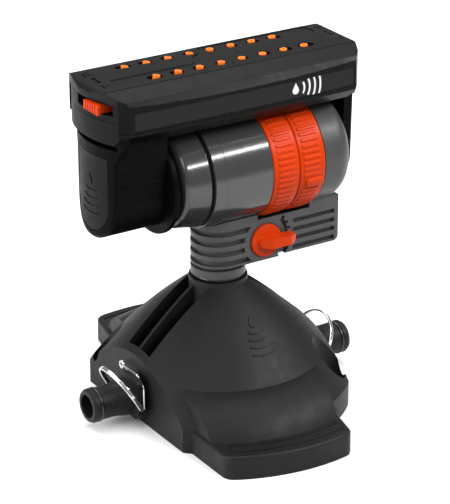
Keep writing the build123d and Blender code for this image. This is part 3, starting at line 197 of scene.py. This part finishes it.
def rounded_edges(tree, radius):
    """Normal that rounds sharp edges, and a mask that is 1 along them."""
    bevel = node(tree, "ShaderNodeBevel", samples=4)
    bevel.inputs["Radius"].default_value = radius
    plain = node(tree, "ShaderNodeNewGeometry")
    facing = node(tree, "ShaderNodeVectorMath", operation="DOT_PRODUCT")
    tree.links.new(bevel.outputs["Normal"], facing.inputs[0])
    tree.links.new(plain.outputs["Normal"], facing.inputs[1])
    return bevel.outputs["Normal"], ranged(tree, facing.outputs["Value"], 0.72, 0.98, 1.0, 0.0)


def bumped(tree, height, depth, normal=None):
    bump = node(tree, "ShaderNodeBump")
    bump.inputs["Strength"].default_value = 1.0
    bump.inputs["Distance"].default_value = depth
    tree.links.new(height, bump.inputs["Height"])
    if normal is not None:
        tree.links.new(normal, bump.inputs["Normal"])
    return bump.outputs["Normal"]


def moulded(name, tone, roughness, grain_depth=0.00001, spread=0.10, edge_highlight=1.5, specular=0.5, coat=0.0,
            stretch=(1.0, 1.0, 1.0), scuff=0.06):
    """Injection-moulded plastic: fine grain, uneven tone and gloss, and edges painted lighter as a painted
    highlight.
    """
    material, tree, shader, coords = blank(name)
    normal, edge = rounded_edges(tree, sizes().edge_round)
    patches = noise(tree, coords, 38.0, 4.0)
    tint = mixed(tree, ranged(tree, patches, *NOISE_SPAN, 0.0, 1.0), shaded(tone, 1 - spread),
                 shaded(tone, 1 + spread))
    # noise that varies the gloss and breaks up the painted edge highlight
    gloss_and_highlight_noise = noise(tree, coords, 160.0, 5.0, stretch)
    # painted highlight: along sharp edges the tone is raised by edge_highlight times, broken up by noise
    edge_highlight_mask = node(tree, "ShaderNodeMath", operation="MULTIPLY")
    tree.links.new(edge, edge_highlight_mask.inputs[0])
    tree.links.new(ranged(tree, gloss_and_highlight_noise, 0.35, 0.65, 0.25, 0.85), edge_highlight_mask.inputs[1])
    with_edge_highlight = mixed(tree, edge_highlight_mask.outputs[0], tint, shaded(tone, edge_highlight))
    tree.links.new(with_edge_highlight, shader.inputs["Base Color"])
    gloss = ranged(tree, gloss_and_highlight_noise, *NOISE_SPAN, roughness - scuff, roughness + scuff)
    tree.links.new(gloss, shader.inputs["Roughness"])
    grain = noise(tree, coords, 1.0 / sizes().grain, 2.0)
    tree.links.new(bumped(tree, grain, grain_depth, normal), shader.inputs["Normal"])
    shader.inputs["Specular IOR Level"].default_value = specular
    shader.inputs["Coat Weight"].default_value = coat
    shader.inputs["Coat Roughness"].default_value = 0.12
    return material


def polished_barrel(name, tone):
    """Smooth satin plastic, faintly scuffed round its axis, with a few dust specks."""
    # the barrel's edges get the painted edge highlight of moulded()
    material = moulded(name, tone, 0.16, grain_depth=0.0000012, spread=0.05, edge_highlight=1.8, specular=0.50,
                       coat=0.12, stretch=(6.0, 0.5, 0.5), scuff=0.05)
    tree = material.node_tree
    shader = tree.nodes["Principled BSDF"]
    coords = next(n for n in tree.nodes if n.type == "TEX_COORD").outputs["Object"]
    specks = node(tree, "ShaderNodeTexVoronoi", feature="F1")
    specks.inputs["Scale"].default_value = 260.0
    tree.links.new(coords, specks.inputs["Vector"])
    tiny = ranged(tree, specks.outputs["Distance"], 0.035, 0.07, 1.0, 0.0)
    rare = ranged(tree, noise(tree, coords, 70.0, 2.0), 0.58, 0.62, 0.0, 0.35)
    both = node(tree, "ShaderNodeMath", operation="MULTIPLY")
    tree.links.new(tiny, both.inputs[0])
    tree.links.new(rare, both.inputs[1])
    under = shader.inputs["Base Color"].links[0].from_socket
    tree.links.new(mixed(tree, both.outputs[0], under, shaded(tone, 3.5)), shader.inputs["Base Color"])
    return material


def soft_rubber(name, tone, roughness):
    material, tree, shader, coords = blank(name)
    patches = noise(tree, coords, 300.0, 3.0)
    tint = mixed(tree, ranged(tree, patches, *NOISE_SPAN, 0.0, 1.0), shaded(tone, 0.9), shaded(tone, 1.08))
    tree.links.new(tint, shader.inputs["Base Color"])
    gloss = ranged(tree, patches, *NOISE_SPAN, roughness - 0.05, roughness + 0.05)
    tree.links.new(gloss, shader.inputs["Roughness"])
    tree.links.new(bumped(tree, noise(tree, coords, 2500.0, 2.0), 0.000004), shader.inputs["Normal"])
    shader.inputs["Subsurface Weight"].default_value = 0.08
    shader.inputs["Subsurface Scale"].default_value = 0.001
    return material


def drawn_steel(name, roughness, streak):
    """Bright spring wire or ground pin, drawn along its length."""
    material, tree, shader, coords = blank(name)
    lines = noise(tree, coords, 900.0, 4.0, streak)
    tree.links.new(mixed(tree, lines, (0.50, 0.50, 0.51), (0.86, 0.86, 0.87)), shader.inputs["Base Color"])
    gloss = ranged(tree, lines, *NOISE_SPAN, roughness - 0.06, roughness + 0.1)
    tree.links.new(gloss, shader.inputs["Roughness"])
    tree.links.new(bumped(tree, lines, 0.000004), shader.inputs["Normal"])
    shader.inputs["Metallic"].default_value = 1.0
    return material


def finishes():
    """Every material, made once and looked up by name."""
    made = bpy.data.materials
    if "base moulding" in made:
        return made
    tone = colours()
    # edge_highlight: how many times lighter each moulding's edges are painted, a painted highlight
    moulded("base moulding", tone.base, 0.50, grain_depth=0.000018, spread=0.14, edge_highlight=2.8,
            specular=0.20)
    moulded("bracket moulding", tone.bracket, 0.40, grain_depth=0.000008, spread=0.07, edge_highlight=1.7,
            specular=0.35)
    polished_barrel("polished grey", tone.barrel)
    moulded("orange moulding", tone.orange, 0.34, grain_depth=0.000004, spread=0.07, edge_highlight=1.4,
            specular=0.13)
    moulded("head matt", tone.head, 0.42, grain_depth=0.000016, spread=0.12, edge_highlight=3.6, specular=0.12)
    moulded("head gloss", tone.band, 0.30, grain_depth=0.000002, spread=0.15, edge_highlight=3.5, specular=0.08)
    moulded("strip inlay", tone.strip, 0.42, grain_depth=0.000006, spread=0.06, edge_highlight=1.8, specular=0.14)
    moulded("pod matt", shaded(tone.band, 1.4), 0.42, grain_depth=0.000012, spread=0.14, edge_highlight=6.0,
            specular=0.03)
    moulded("plaque", shaded(tone.head, 0.95), 0.46, grain_depth=0.000014, spread=0.10, edge_highlight=3.4,
            specular=0.08)
    moulded("white print", tone.mark, 0.55, grain_depth=0.000002, spread=0.02, edge_highlight=1.0, specular=0.3)
    moulded("natural acetal", tone.gear, 0.42, grain_depth=0.000004, spread=0.05, edge_highlight=1.1)
    soft_rubber("jet rubber", tone.nozzle, 0.38)
    soft_rubber("seal rubber", (0.008, 0.008, 0.008), 0.22)
    drawn_steel("spring wire", 0.14, (1.0, 1.0, 0.15))
    drawn_steel("ground steel", 0.28, (0.1, 1.0, 1.0))
    return made


# ------------------------------------------------------------------ making pieces
def clear_selection():
    if bpy.context.object and bpy.context.object.mode != "OBJECT":
        bpy.ops.object.mode_set(mode="OBJECT")
    bpy.ops.object.select_all(action="DESELECT")


def only(piece):
    clear_selection()
    piece.select_set(True)
    bpy.context.view_layer.objects.active = piece


def edit(piece, kind):
    """Open a piece in edit mode with all of it selected."""
    only(piece)
    bpy.ops.object.mode_set(mode="EDIT")
    bpy.ops.mesh.select_mode(type=kind)
    bpy.ops.mesh.select_all(action="SELECT")


def pick_edges(piece, test):
    """Select the edges whose middle and direction pass a test, and stay in edit mode."""
    edit(piece, "EDGE")
    bpy.ops.mesh.select_all(action="DESELECT")
    bpy.ops.object.mode_set(mode="OBJECT")
    mesh = piece.data
    for edge in mesh.edges:
        first, second = (mesh.vertices[i].co for i in edge.vertices)
        edge.select = test((first + second) / 2, second - first)
    bpy.ops.object.mode_set(mode="EDIT")


def place(piece):
    """Move a primitive's place into its mesh."""
    only(piece)
    bpy.ops.object.transform_apply(location=True, rotation=True, scale=True)


def cube(centre, size):
    clear_selection()
    bpy.ops.mesh.primitive_cube_add(size=1.0, location=centre)
    piece = bpy.context.object
    piece.scale = size
    place(piece)
    return piece


def rod(radius, x_span, y, z, sides):
    """Cylinder along X."""
    clear_selection()
    bpy.ops.mesh.primitive_cylinder_add(vertices=sides, radius=radius, depth=x_span[1] - x_span[0],
                                        end_fill_type="NGON", location=(sum(x_span) / 2, y, z),
                                        rotation=(0, math.pi / 2, 0))
    piece = bpy.context.object
    place(piece)
    return piece


def outline(points, low, high):
    """Flat face on a few points, raised to a block between two heights."""
    clear_selection()
    bpy.ops.mesh.primitive_circle_add(vertices=len(points), radius=0.01, fill_type="NGON")
    piece = bpy.context.object
    for vertex, (x, y) in zip(piece.data.vertices, points):
        vertex.co = (x, y, low)
    edit(piece, "FACE")
    bpy.ops.mesh.extrude_region_move(TRANSFORM_OT_translate={"value": (0, 0, high - low)})
    bpy.ops.mesh.select_all(action="SELECT")
    bpy.ops.mesh.normals_make_consistent(inside=False)
    bpy.ops.object.mode_set(mode="OBJECT")
    return piece


def join(pieces):
    clear_selection()
    for piece in pieces:
        piece.select_set(True)
    bpy.context.view_layer.objects.active = pieces[0]
    bpy.ops.object.join()
    return bpy.context.object


def boolean(piece, cutter, operation="DIFFERENCE", overlapping=False):
    only(piece)
    change = piece.modifiers.new("cut", "BOOLEAN")
    change.operation, change.object, change.solver = operation, cutter, "EXACT"
    change.use_self = overlapping
    bpy.ops.object.modifier_apply(modifier=change.name)
    bpy.data.objects.remove(cutter)
    return piece


BEVEL_LIMIT_DEG = 35.0
SMOOTH_DEG = 32.0
MERGE = 0.000002              # points closer than this become one


def bevelled(piece, width, segments):
    """Round every edge that turns by more than BEVEL_LIMIT_DEG."""
    only(piece)
    change = piece.modifiers.new("edges", "BEVEL")
    change.width, change.segments, change.limit_method = width, segments, "ANGLE"
    change.angle_limit, change.use_clamp_overlap = math.radians(BEVEL_LIMIT_DEG), True
    bpy.ops.object.modifier_apply(modifier=change.name)
    return piece


def casting(name):
    """Merged copy of a fixed node, ready to be worked on."""
    only(NODES[name])
    bpy.ops.object.duplicate()
    piece = bpy.context.object
    world = piece.matrix_world.copy()
    piece.parent = None
    piece.matrix_world = world
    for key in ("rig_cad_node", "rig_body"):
        if key in piece:
            del piece[key]
    bpy.ops.mesh.customdata_custom_splitnormals_clear()
    edit(piece, "VERT")
    bpy.ops.mesh.remove_doubles(threshold=MERGE)
    bpy.ops.object.mode_set(mode="OBJECT")
    return piece


def finished(piece, name, material, body, replaced=()):
    """Give a piece its name, finish and shading, and fix it to its body."""
    only(piece)
    bpy.ops.object.transform_apply(location=True, rotation=True, scale=True)
    bpy.ops.object.shade_smooth_by_angle(angle=math.radians(SMOOTH_DEG))
    piece.name = piece.data.name = name
    piece.data.materials.clear()
    piece.data.materials.append(finishes()[material])
    if replaced:
        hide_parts(*replaced)
    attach(piece, body)
    return piece


def coat(material, *names):
    """Finish fixed nodes whose shape is already right."""
    for name in names:
        mesh = NODES[name].data
        mesh.materials.clear()
        mesh.materials.append(finishes()[material])


# ------------------------------------------------------------------ measures taken from the frame
BARREL_LOW, BARREL_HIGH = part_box("barrel_body")
AXIS_Z = (BARREL_LOW.z + BARREL_HIGH.z) / 2
HEAD_LOW, HEAD_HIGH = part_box("head_cover")
HEAD_X = (HEAD_LOW.x + HEAD_HIGH.x) / 2
ROOF_SLOPE_Y = 0.018          # where the roof turns down towards the sides
ROOF_RISE = 0.001             # how far the crowned middle stands over that edge


# ------------------------------------------------------------------ marks
UPRIGHT = (math.pi / 2, 0.0, 0.0)
FACING_LEFT = (math.pi / 2, 0.0, -math.pi / 2)
BELL_SLOPE_DEG = 42.0
BELL_MARK_AT = (0.0, -0.0420, 0.0490)
STRIP_MARK_AT = (0.0300, 0.1810)    # along X from the head's middle, and up
PLAQUE_MARK_DROP = 0.004            # below the plaque's middle
PRINT = 0.00012                     # how far a printed mark stands out
RAISED = 0.00045                    # the same for a moulded one
RAISED_ON_PLAQUE = 0.0003
MARK_REACH = 0.006                  # half the thickness of the block a mark is cut from
STRIP_MARK_REACH = 0.004
ARCS = 4
ARC_NARROWS_DEG = 4                 # each arc spans less than the one before, by this at both ends


def drop_points(x, z, radius):
    """Droplet: two thirds of a circle that run up to a point."""
    turn = [math.radians(150 + 12 * step) for step in range(21)]
    return [(x + radius * math.cos(t), z + radius * math.sin(t)) for t in turn] + [(x, z + 2.1 * radius)]


def arc_points(z, middle_r, width, start, end):
    """Band that follows part of a circle round (0, z), from one angle in degrees to another."""
    turn = [math.radians(start + (end - start) * step / 10) for step in range(11)]
    outer, inner = middle_r + width / 2, middle_r - width / 2
    return ([(outer * math.cos(t), z + outer * math.sin(t)) for t in turn]
            + [(inner * math.cos(t), z + inner * math.sin(t)) for t in reversed(turn)])


def spray(z, first_r, step_r, width, towards_deg, half_deg):
    """Arcs that open out from (0, z) in one direction."""
    arcs = []
    for count in range(ARCS):
        half = half_deg - ARC_NARROWS_DEG * count
        arcs.append(arc_points(z, first_r + step_r * count, width, towards_deg - half, towards_deg + half))
    return arcs


def moulded_mark():
    """A droplet with spray arcs that open downwards below it."""
    return [drop_points(0.0, 0.0100, 0.0021), *spray(0.0130, 0.0085, 0.0042, 0.0010, -90, 32)]


def printed_mark():
    """A droplet with spray arcs that open out to the right of it."""
    return [drop_points(0.0, -0.0008, 0.0020), *spray(0.0, 0.0055, 0.0034, 0.0011, 0, 34)]


def relief(carrier, shapes, depth, shift, turn, at):
    """Mark made of flat shapes, cut from a copy of the piece that carries it, moved by shift."""
    symbol = join([outline(points, -depth, depth) for points in shapes])
    symbol.rotation_euler = turn
    symbol.location = at
    place(symbol)
    skin = casting(carrier)
    skin.location = Vector(skin.location) + Vector(shift)
    place(skin)
    return boolean(symbol, skin, "INTERSECT", overlapping=True)


# ------------------------------------------------------------------ pieces
class FinishBase(bpy.types.Operator):
    """Finish the bell-shaped base, its water pipe and their screws"""
    bl_idname = "sprinkler.base"
    bl_label = "Base"

    def execute(self, context):
        coat("base moulding", "base_shell", "supply_tee")
        mark = relief("base_shell", moulded_mark(), MARK_REACH, (0.0, -RAISED, RAISED),
                      (math.radians(BELL_SLOPE_DEG), 0.0, 0.0), BELL_MARK_AT)
        finished(mark, "bell_mark", "base moulding", "base")
        coat("ground steel", "tee_screws")
        return {"FINISHED"}


class FinishConnectors(bpy.types.Operator):
    """Finish the two hose connectors, their seals, clips and bails"""
    bl_idname = "sprinkler.connectors"
    bl_label = "Hose connectors"

    def execute(self, context):
        coat("base moulding", "inlet_connector", "outlet_connector")
        coat("seal rubber", "connector_o_rings")
        coat("spring wire", "clip_wires", "inlet_bail", "outlet_bail")
        return {"FINISHED"}


class FinishColumn(bpy.types.Operator):
    """Finish the swivelling column with its bracket, seals and flow valve"""
    bl_idname = "sprinkler.column"
    bl_label = "Column and valve"

    def execute(self, context):
        coat("bracket moulding", "column_bracket")
        coat("ground steel", "swivel_circlip")
        coat("seal rubber", "arm_seals", "valve_seals")
        coat("orange moulding", "flow_knob")
        coat("natural acetal", "valve_plug")
        return {"FINISHED"}


class FinishBarrel(bpy.types.Operator):
    """Finish the barrel, its front cover and the head's collar"""
    bl_idname = "sprinkler.barrel"
    bl_label = "Barrel"

    def execute(self, context):
        coat("polished grey", "barrel_body", "barrel_front_ring", "head_collar")
        return {"FINISHED"}


class FinishDrive(bpy.types.Operator):
    """Finish the turbine, its gears, the reversing flap and the output shaft"""
    bl_idname = "sprinkler.drive"
    bl_label = "Turbine and gears"

    def execute(self, context):
        coat("natural acetal", "gearbox_front_plate", "gearbox_rear_plate", "first_compound_gear",
             "second_compound_gear", "turbine_wheel", "stator_plate", "reversing_flap", "output_shaft",
             "output_gear")
        coat("ground steel", "gear_axles", "turbine_shaft")
        return {"FINISHED"}


def upright_rib(x_span, width, top, sink, end_round, edge_round):
    """Rib above the barrel's axis, with rounded ends and a softened top edge."""
    rib = cube((sum(x_span) / 2, 0, top - sink / 2), (x_span[1] - x_span[0], width, sink))
    pick_edges(rib, lambda middle, run: abs(run.z) > sink / 2)
    bpy.ops.mesh.bevel(offset=end_round, segments=5)
    bpy.ops.object.mode_set(mode="OBJECT")
    return bevelled(rib, edge_round, 3)


def turned_about_barrel(piece, degrees):
    """Turn a piece about the barrel's axis, counted from straight up towards the front."""
    about = Matrix.Translation((0, 0, AXIS_Z))
    piece.data.transform(about @ Matrix.Rotation(math.radians(degrees), 4, "X") @ about.inverted())
    return piece


RING_LENGTH = 0.016
RING_BORE_R = 0.028
RING_EDGE = 0.0007
RING_SIDES = 192
LEFT_RIBS = (0.0028, 0.0138)    # span of the ribs, from the ring's left end
RIGHT_RIBS = (0.0022, 0.0132)
RIB_EDGE = 0.0003
NUB_DEG = 105.0                 # from straight up towards the front
NUB_INSETS = (0.0036, 0.0012)   # from the ring's left and right ends
NUB_WIDTH = 0.0050
NUB_HEIGHT = 0.0016
NUB_SINK = 0.0026
NUB_CORNER = 0.0022


def range_ring(name, body, ribs_from, ribs_to, nub_deg=None):
    """Grip ring: a turned tube with softened rims and round-ended ribs, and on one ring an index nub."""
    low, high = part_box(name)
    size = sizes()
    outer = (high.z - low.z) / 2 - size.rib_height
    x_span = (low.x, low.x + RING_LENGTH)
    ring = rod(outer, x_span, 0, AXIS_Z, RING_SIDES)
    boolean(ring, rod(RING_BORE_R, (low.x - MM, high.x + MM), 0, AXIS_Z, RING_SIDES))
    bevelled(ring, RING_EDGE, 3)
    ribs = []
    for index in range(size.rib_count):
        degrees = 360.0 * index / size.rib_count
        if nub_deg is not None and abs(degrees - nub_deg) < 360.0 / size.rib_count * 0.9:
            continue
        if not ribs:
            ribs.append(upright_rib((low.x + ribs_from, low.x + ribs_to), size.rib_width,
                                    AXIS_Z + outer + size.rib_height, 2 * size.rib_height,
                                    size.rib_width * 0.48, RIB_EDGE))
            continue
        copy = ribs[0].copy()
        copy.data = ribs[0].data.copy()
        bpy.context.scene.collection.objects.link(copy)
        ribs.append(turned_about_barrel(copy, degrees))
    if nub_deg is not None:
        nub = upright_rib((low.x + NUB_INSETS[0], high.x - NUB_INSETS[1]), NUB_WIDTH,
                          AXIS_Z + outer + NUB_HEIGHT, NUB_SINK, NUB_CORNER, RING_EDGE)
        ribs.append(turned_about_barrel(nub, nub_deg))
    finished(join([ring] + ribs), name + "_grip", "orange moulding", body, (name,))


class FinishRings(bpy.types.Operator):
    """Model the two ribbed range rings"""
    bl_idname = "sprinkler.rings"
    bl_label = "Range rings"

    def execute(self, context):
        range_ring("range_ring_left", "left_range_ring", *LEFT_RIBS)
        range_ring("range_ring_right", "right_range_ring", *RIGHT_RIBS, NUB_DEG)
        return {"FINISHED"}


UPRIGHT_EDGE = 0.0005         # an edge that rises more than this stands upright
SAME_PLACE = 0.00005


def rounded_outline(points, radii, low, high):
    """Block on an outline whose corners are rounded, each by its own radius."""
    piece = outline(points, low, high)
    for index, radius in enumerate(radii):
        corner = Vector(points[index])
        pick_edges(piece, lambda middle, run: abs(run.z) > UPRIGHT_EDGE
                   and (Vector((middle.x, middle.y)) - corner).length < SAME_PLACE)
        bpy.ops.mesh.bevel(offset=radius, segments=6)
        bpy.ops.object.mode_set(mode="OBJECT")
    return piece


CHANNEL_END = 0.0125          # from the channel's ends to the head's tips
ROOF_SIDES = 1440             # facets round the large circle that the roof follows
ICON_X, ICON_Y = 0.0722, 0.0102
ICON_DEPTH = 0.0022           # below the roof's highest line
GROOVE_DEPTH = 0.0024
FLANK_TILT = 0.45             # faces that lean outwards more than this are gloss
FLANK_INSET = 0.006


def roof_channel():
    """Winding channel: an arm along the front left, an arm along the back right and a slanted crossing."""
    size = sizes()
    inner, wide = size.channel_inner, size.channel_inner + size.channel_width
    reach = HEAD_HIGH.x - HEAD_X - CHANNEL_END
    half = [(-reach, -wide), (0.0030, -wide), (0.0036, -inner - 0.0045), (0.0120, -inner), (0.0150, inner),
            (reach, inner)]
    points = [(HEAD_X + x, y) for x, y in half] + [(HEAD_X - x, -y) for x, y in half]
    radii = [0.003, 0.0055, 0.0035, 0.004, 0.003, 0.0025] * 2
    block = rounded_outline(points, radii, HEAD_HIGH.z - 0.006, HEAD_HIGH.z + 0.004)
    roof_r = (ROOF_SLOPE_Y ** 2 + ROOF_RISE ** 2) / (2 * ROOF_RISE)
    core = rod(roof_r - size.channel_depth, (HEAD_LOW.x - MM, HEAD_HIGH.x + MM), 0, HEAD_HIGH.z - roof_r,
               ROOF_SIDES)
    return boolean(block, core)


def spray_icon(rays):
    """A small fan of drops over a short bar."""
    shapes = [[(-0.0026, -0.0008), (0.0026, -0.0008), (0.0026, 0.0), (-0.0026, 0.0)]]
    for ray in range(rays):
        lean = (ray - (rays - 1) / 2) * 0.0016
        shapes.append([(lean - 0.0004, 0.0008), (lean + 0.0004, 0.0008), (1.6 * lean + 0.0005, 0.0030),
                       (1.6 * lean - 0.0005, 0.0030)])
    return shapes


def arrow_icon():
    """Double-headed arrow."""
    return [[(-0.0046, 0.0011), (-0.0026, 0.0027), (-0.0026, 0.0016), (0.0026, 0.0016), (0.0026, 0.0027),
             (0.0046, 0.0011), (0.0026, -0.0005), (0.0026, 0.0006), (-0.0026, 0.0006), (-0.0026, -0.0005)]]


class ModelHead(bpy.types.Operator):
    """Model the head's cover with its winding channel and long grooves, and finish the pieces round it"""
    bl_idname = "sprinkler.head"
    bl_label = "Head"

    def execute(self, context):
        size = sizes()
        cover = casting("head_cover")
        boolean(cover, roof_channel())
        for side in (-1, 1):
            groove = cube((HEAD_X, side * (ROOF_SLOPE_Y - 0.0001), HEAD_HIGH.z - 0.0004),
                          (HEAD_HIGH.x - HEAD_LOW.x + 0.01, size.groove_width, GROOVE_DEPTH))
            boolean(cover, groove)
        icons = []
        for side in (-1, 1):
            x = HEAD_X + side * ICON_X
            for y, shapes in ((ICON_Y, spray_icon(3)), (-ICON_Y, spray_icon(1)), (0.0, arrow_icon())):
                icons += [[(x - side * b, y + side * a) for a, b in points] for points in shapes]
        cutter = join([outline(points, HEAD_HIGH.z - ICON_DEPTH, HEAD_HIGH.z + 0.002) for points in icons])
        boolean(cover, cutter)
        finished(cover, "head_cover_channelled", "head matt", "head", ("head_cover",))
        cover.data.materials.append(finishes()["head gloss"])
        for face in cover.data.polygons:
            flank = abs(face.normal.y) > FLANK_TILT and abs(face.center.y) > HEAD_HIGH.y - FLANK_INSET
            face.material_index = int(flank)
        mark = relief("side_strips", printed_mark(), STRIP_MARK_REACH, (0.0, -PRINT, 0.0), UPRIGHT,
                      (HEAD_X + STRIP_MARK_AT[0], HEAD_LOW.y, STRIP_MARK_AT[1]))
        finished(mark, "strip_mark", "white print", "head")
        coat("head gloss", "head_tray")
        coat("strip inlay", "side_strips")
        coat("plaque", "window_panels", "end_panels")
        coat("head matt", "nozzle_carrier")
        coat("ground steel", "cover_screws")
        return {"FINISHED"}


class FinishPod(bpy.types.Operator):
    """Finish the pod, its plaque and disc, and the far arm"""
    bl_idname = "sprinkler.pod"
    bl_label = "Pod and far arm"

    def execute(self, context):
        coat("pod matt", "pod_housing", "pod_disc", "pivot_arm")
        coat("plaque", "pod_plaque")
        low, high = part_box("pod_plaque")
        mark = relief("pod_plaque", moulded_mark(), MARK_REACH, (-RAISED_ON_PLAQUE, 0.0, 0.0),
                      FACING_LEFT, (low.x, 0.0, (low.z + high.z) / 2 - PLAQUE_MARK_DROP))
        finished(mark, "plaque_mark", "plaque", "head")
        return {"FINISHED"}


class FinishJets(bpy.types.Operator):
    """Finish the rubber jets and the two sliders that spread them"""
    bl_idname = "sprinkler.jets"
    bl_label = "Jets and sliders"

    def execute(self, context):
        jets = [name for name in NODES if name.startswith("nozzle_") and name != "nozzle_carrier"]
        coat("jet rubber", *jets)
        coat("orange moulding", "spread_slider_left", "spread_slider_right")
        return {"FINISHED"}


# ------------------------------------------------------------------ stage
FLOOR_BOUNCE = 0.22           # share of the floor's tone that diffuse bounces see
WORLD_LIGHT = 0.34
SUBJECT = (0.0, 0.0, 0.12)
BARREL_AT = (0.01, -0.025, 0.150)
LAMPS = (                     # name, place, aim, width, height, power
    ("bar of light", (0.44, -0.60, 0.68), BARREL_AT, 1.00, 0.055, 9.0),
    ("soft key", (-0.80, -0.70, 0.95), SUBJECT, 0.50, 0.50, 3.0),
    ("left fill", (-1.30, 0.15, 0.40), SUBJECT, 0.90, 0.70, 14.0),
    ("top", (0.10, 0.40, 1.40), SUBJECT, 1.20, 0.90, 4.5),
    ("floor wash", (0.00, 0.60, 2.20), (0.0, 0.4, 0.0), 3.00, 3.00, 60.0),
)


def lamp(name, place_at, look_at, width, height, power):
    data = bpy.data.lights.new(name, "AREA")
    data.shape, data.size, data.size_y, data.energy = "RECTANGLE", width, height, power
    light = bpy.data.objects.new(name, data)
    bpy.context.scene.collection.objects.link(light)
    light.location = place_at
    light.rotation_euler = (Vector(look_at) - Vector(place_at)).to_track_quat("-Z", "Y").to_euler()


def whiteness(tree, shader, tone):
    """Show the floor as white paper to the camera and in reflections, and dimmer to diffuse bounces."""
    path = node(tree, "ShaderNodeLightPath")
    dim = node(tree, "ShaderNodeBsdfDiffuse")
    dim.inputs["Color"].default_value = (*shaded(tone, FLOOR_BOUNCE), 1.0)
    chosen = node(tree, "ShaderNodeMixShader")
    tree.links.new(path.outputs["Is Diffuse Ray"], chosen.inputs["Fac"])
    tree.links.new(shader.outputs["BSDF"], chosen.inputs[1])
    tree.links.new(dim.outputs["BSDF"], chosen.inputs[2])
    surface = next(n for n in tree.nodes if n.type == "OUTPUT_MATERIAL").inputs["Surface"]
    tree.links.new(chosen.outputs["Shader"], surface)


class SetStage(bpy.types.Operator):
    """Set the floor, the studio lights and the camera"""
    bl_idname = "sprinkler.stage"
    bl_label = "Stage"

    def execute(self, context):
        scene = context.scene
        clear_selection()
        bpy.ops.mesh.primitive_plane_add(size=12.0, location=(0, 0, 0))
        floor = context.object
        floor.name = "floor"
        material, tree, shader, _ = blank("floor paint")
        shader.inputs["Base Color"].default_value = (*colours().floor, 1.0)
        shader.inputs["Roughness"].default_value = 0.85
        shader.inputs["Specular IOR Level"].default_value = 0.1
        whiteness(tree, shader, colours().floor)
        floor.data.materials.append(material)
        for name, place_at, look_at, width, height, power in LAMPS:
            lamp(name, place_at, look_at, width, height, power)
        world = bpy.data.worlds.new("studio")
        scene.world = world
        world.use_nodes = True
        backdrop = world.node_tree.nodes["Background"]
        backdrop.inputs["Color"].default_value = (1.0, 1.0, 1.0, 1.0)
        backdrop.inputs["Strength"].default_value = WORLD_LIGHT
        scene.view_settings.view_transform = "Standard"
        view = scene.sprinkler_camera
        data = bpy.data.cameras.new("camera")
        data.sensor_width, data.lens = 36.0, view.lens
        camera = bpy.data.objects.new("camera", data)
        scene.collection.objects.link(camera)
        back = Vector((math.sin(view.azimuth) * math.cos(view.elevation),
                       -math.cos(view.azimuth) * math.cos(view.elevation), math.sin(view.elevation)))
        camera.location = Vector(view.target) + back * view.distance
        camera.rotation_euler = back.to_track_quat("Z", "Y").to_euler()
        scene.camera = camera
        return {"FINISHED"}


PIECES = (FinishBase, FinishConnectors, FinishColumn, FinishBarrel, FinishRings, FinishDrive,
          ModelHead, FinishPod, FinishJets)


class SprinklerPanel(bpy.types.Panel):
    """Buttons for every piece, and the settings they use"""
    bl_idname = "VIEW3D_PT_sprinkler"
    bl_label = "Sprinkler"
    bl_space_type = "VIEW_3D"
    bl_region_type = "UI"
    bl_category = "Sprinkler"

    def draw(self, context):
        for operator in (*PIECES, SetStage):
            self.layout.operator(operator.bl_idname)
        for name in GROUPS:
            group = getattr(context.scene, name)
            column = self.layout.column()
            for key in group.bl_rna.properties.keys():
                if key not in ("rna_type", "name"):
                    column.prop(group, key)


GROUPS = {"sprinkler_colours": SprinklerColours, "sprinkler_sizes": SprinklerSizes,
          "sprinkler_camera": SprinklerCamera}


def register():
    for name, group in GROUPS.items():
        bpy.utils.register_class(group)
        setattr(bpy.types.Scene, name, PointerProperty(type=group))
    for item in (*PIECES, SetStage, SprinklerPanel):
        bpy.utils.register_class(item)


def unregister():
    for item in reversed((*PIECES, SetStage, SprinklerPanel)):
        bpy.utils.unregister_class(item)
    for name, group in GROUPS.items():
        delattr(bpy.types.Scene, name)
        bpy.utils.unregister_class(group)


def main():
    register()
    for operator in (*PIECES, SetStage):
        group, call = operator.bl_idname.split(".")
        getattr(getattr(bpy.ops, group), call)()


if __name__ == "__main__":
    main()
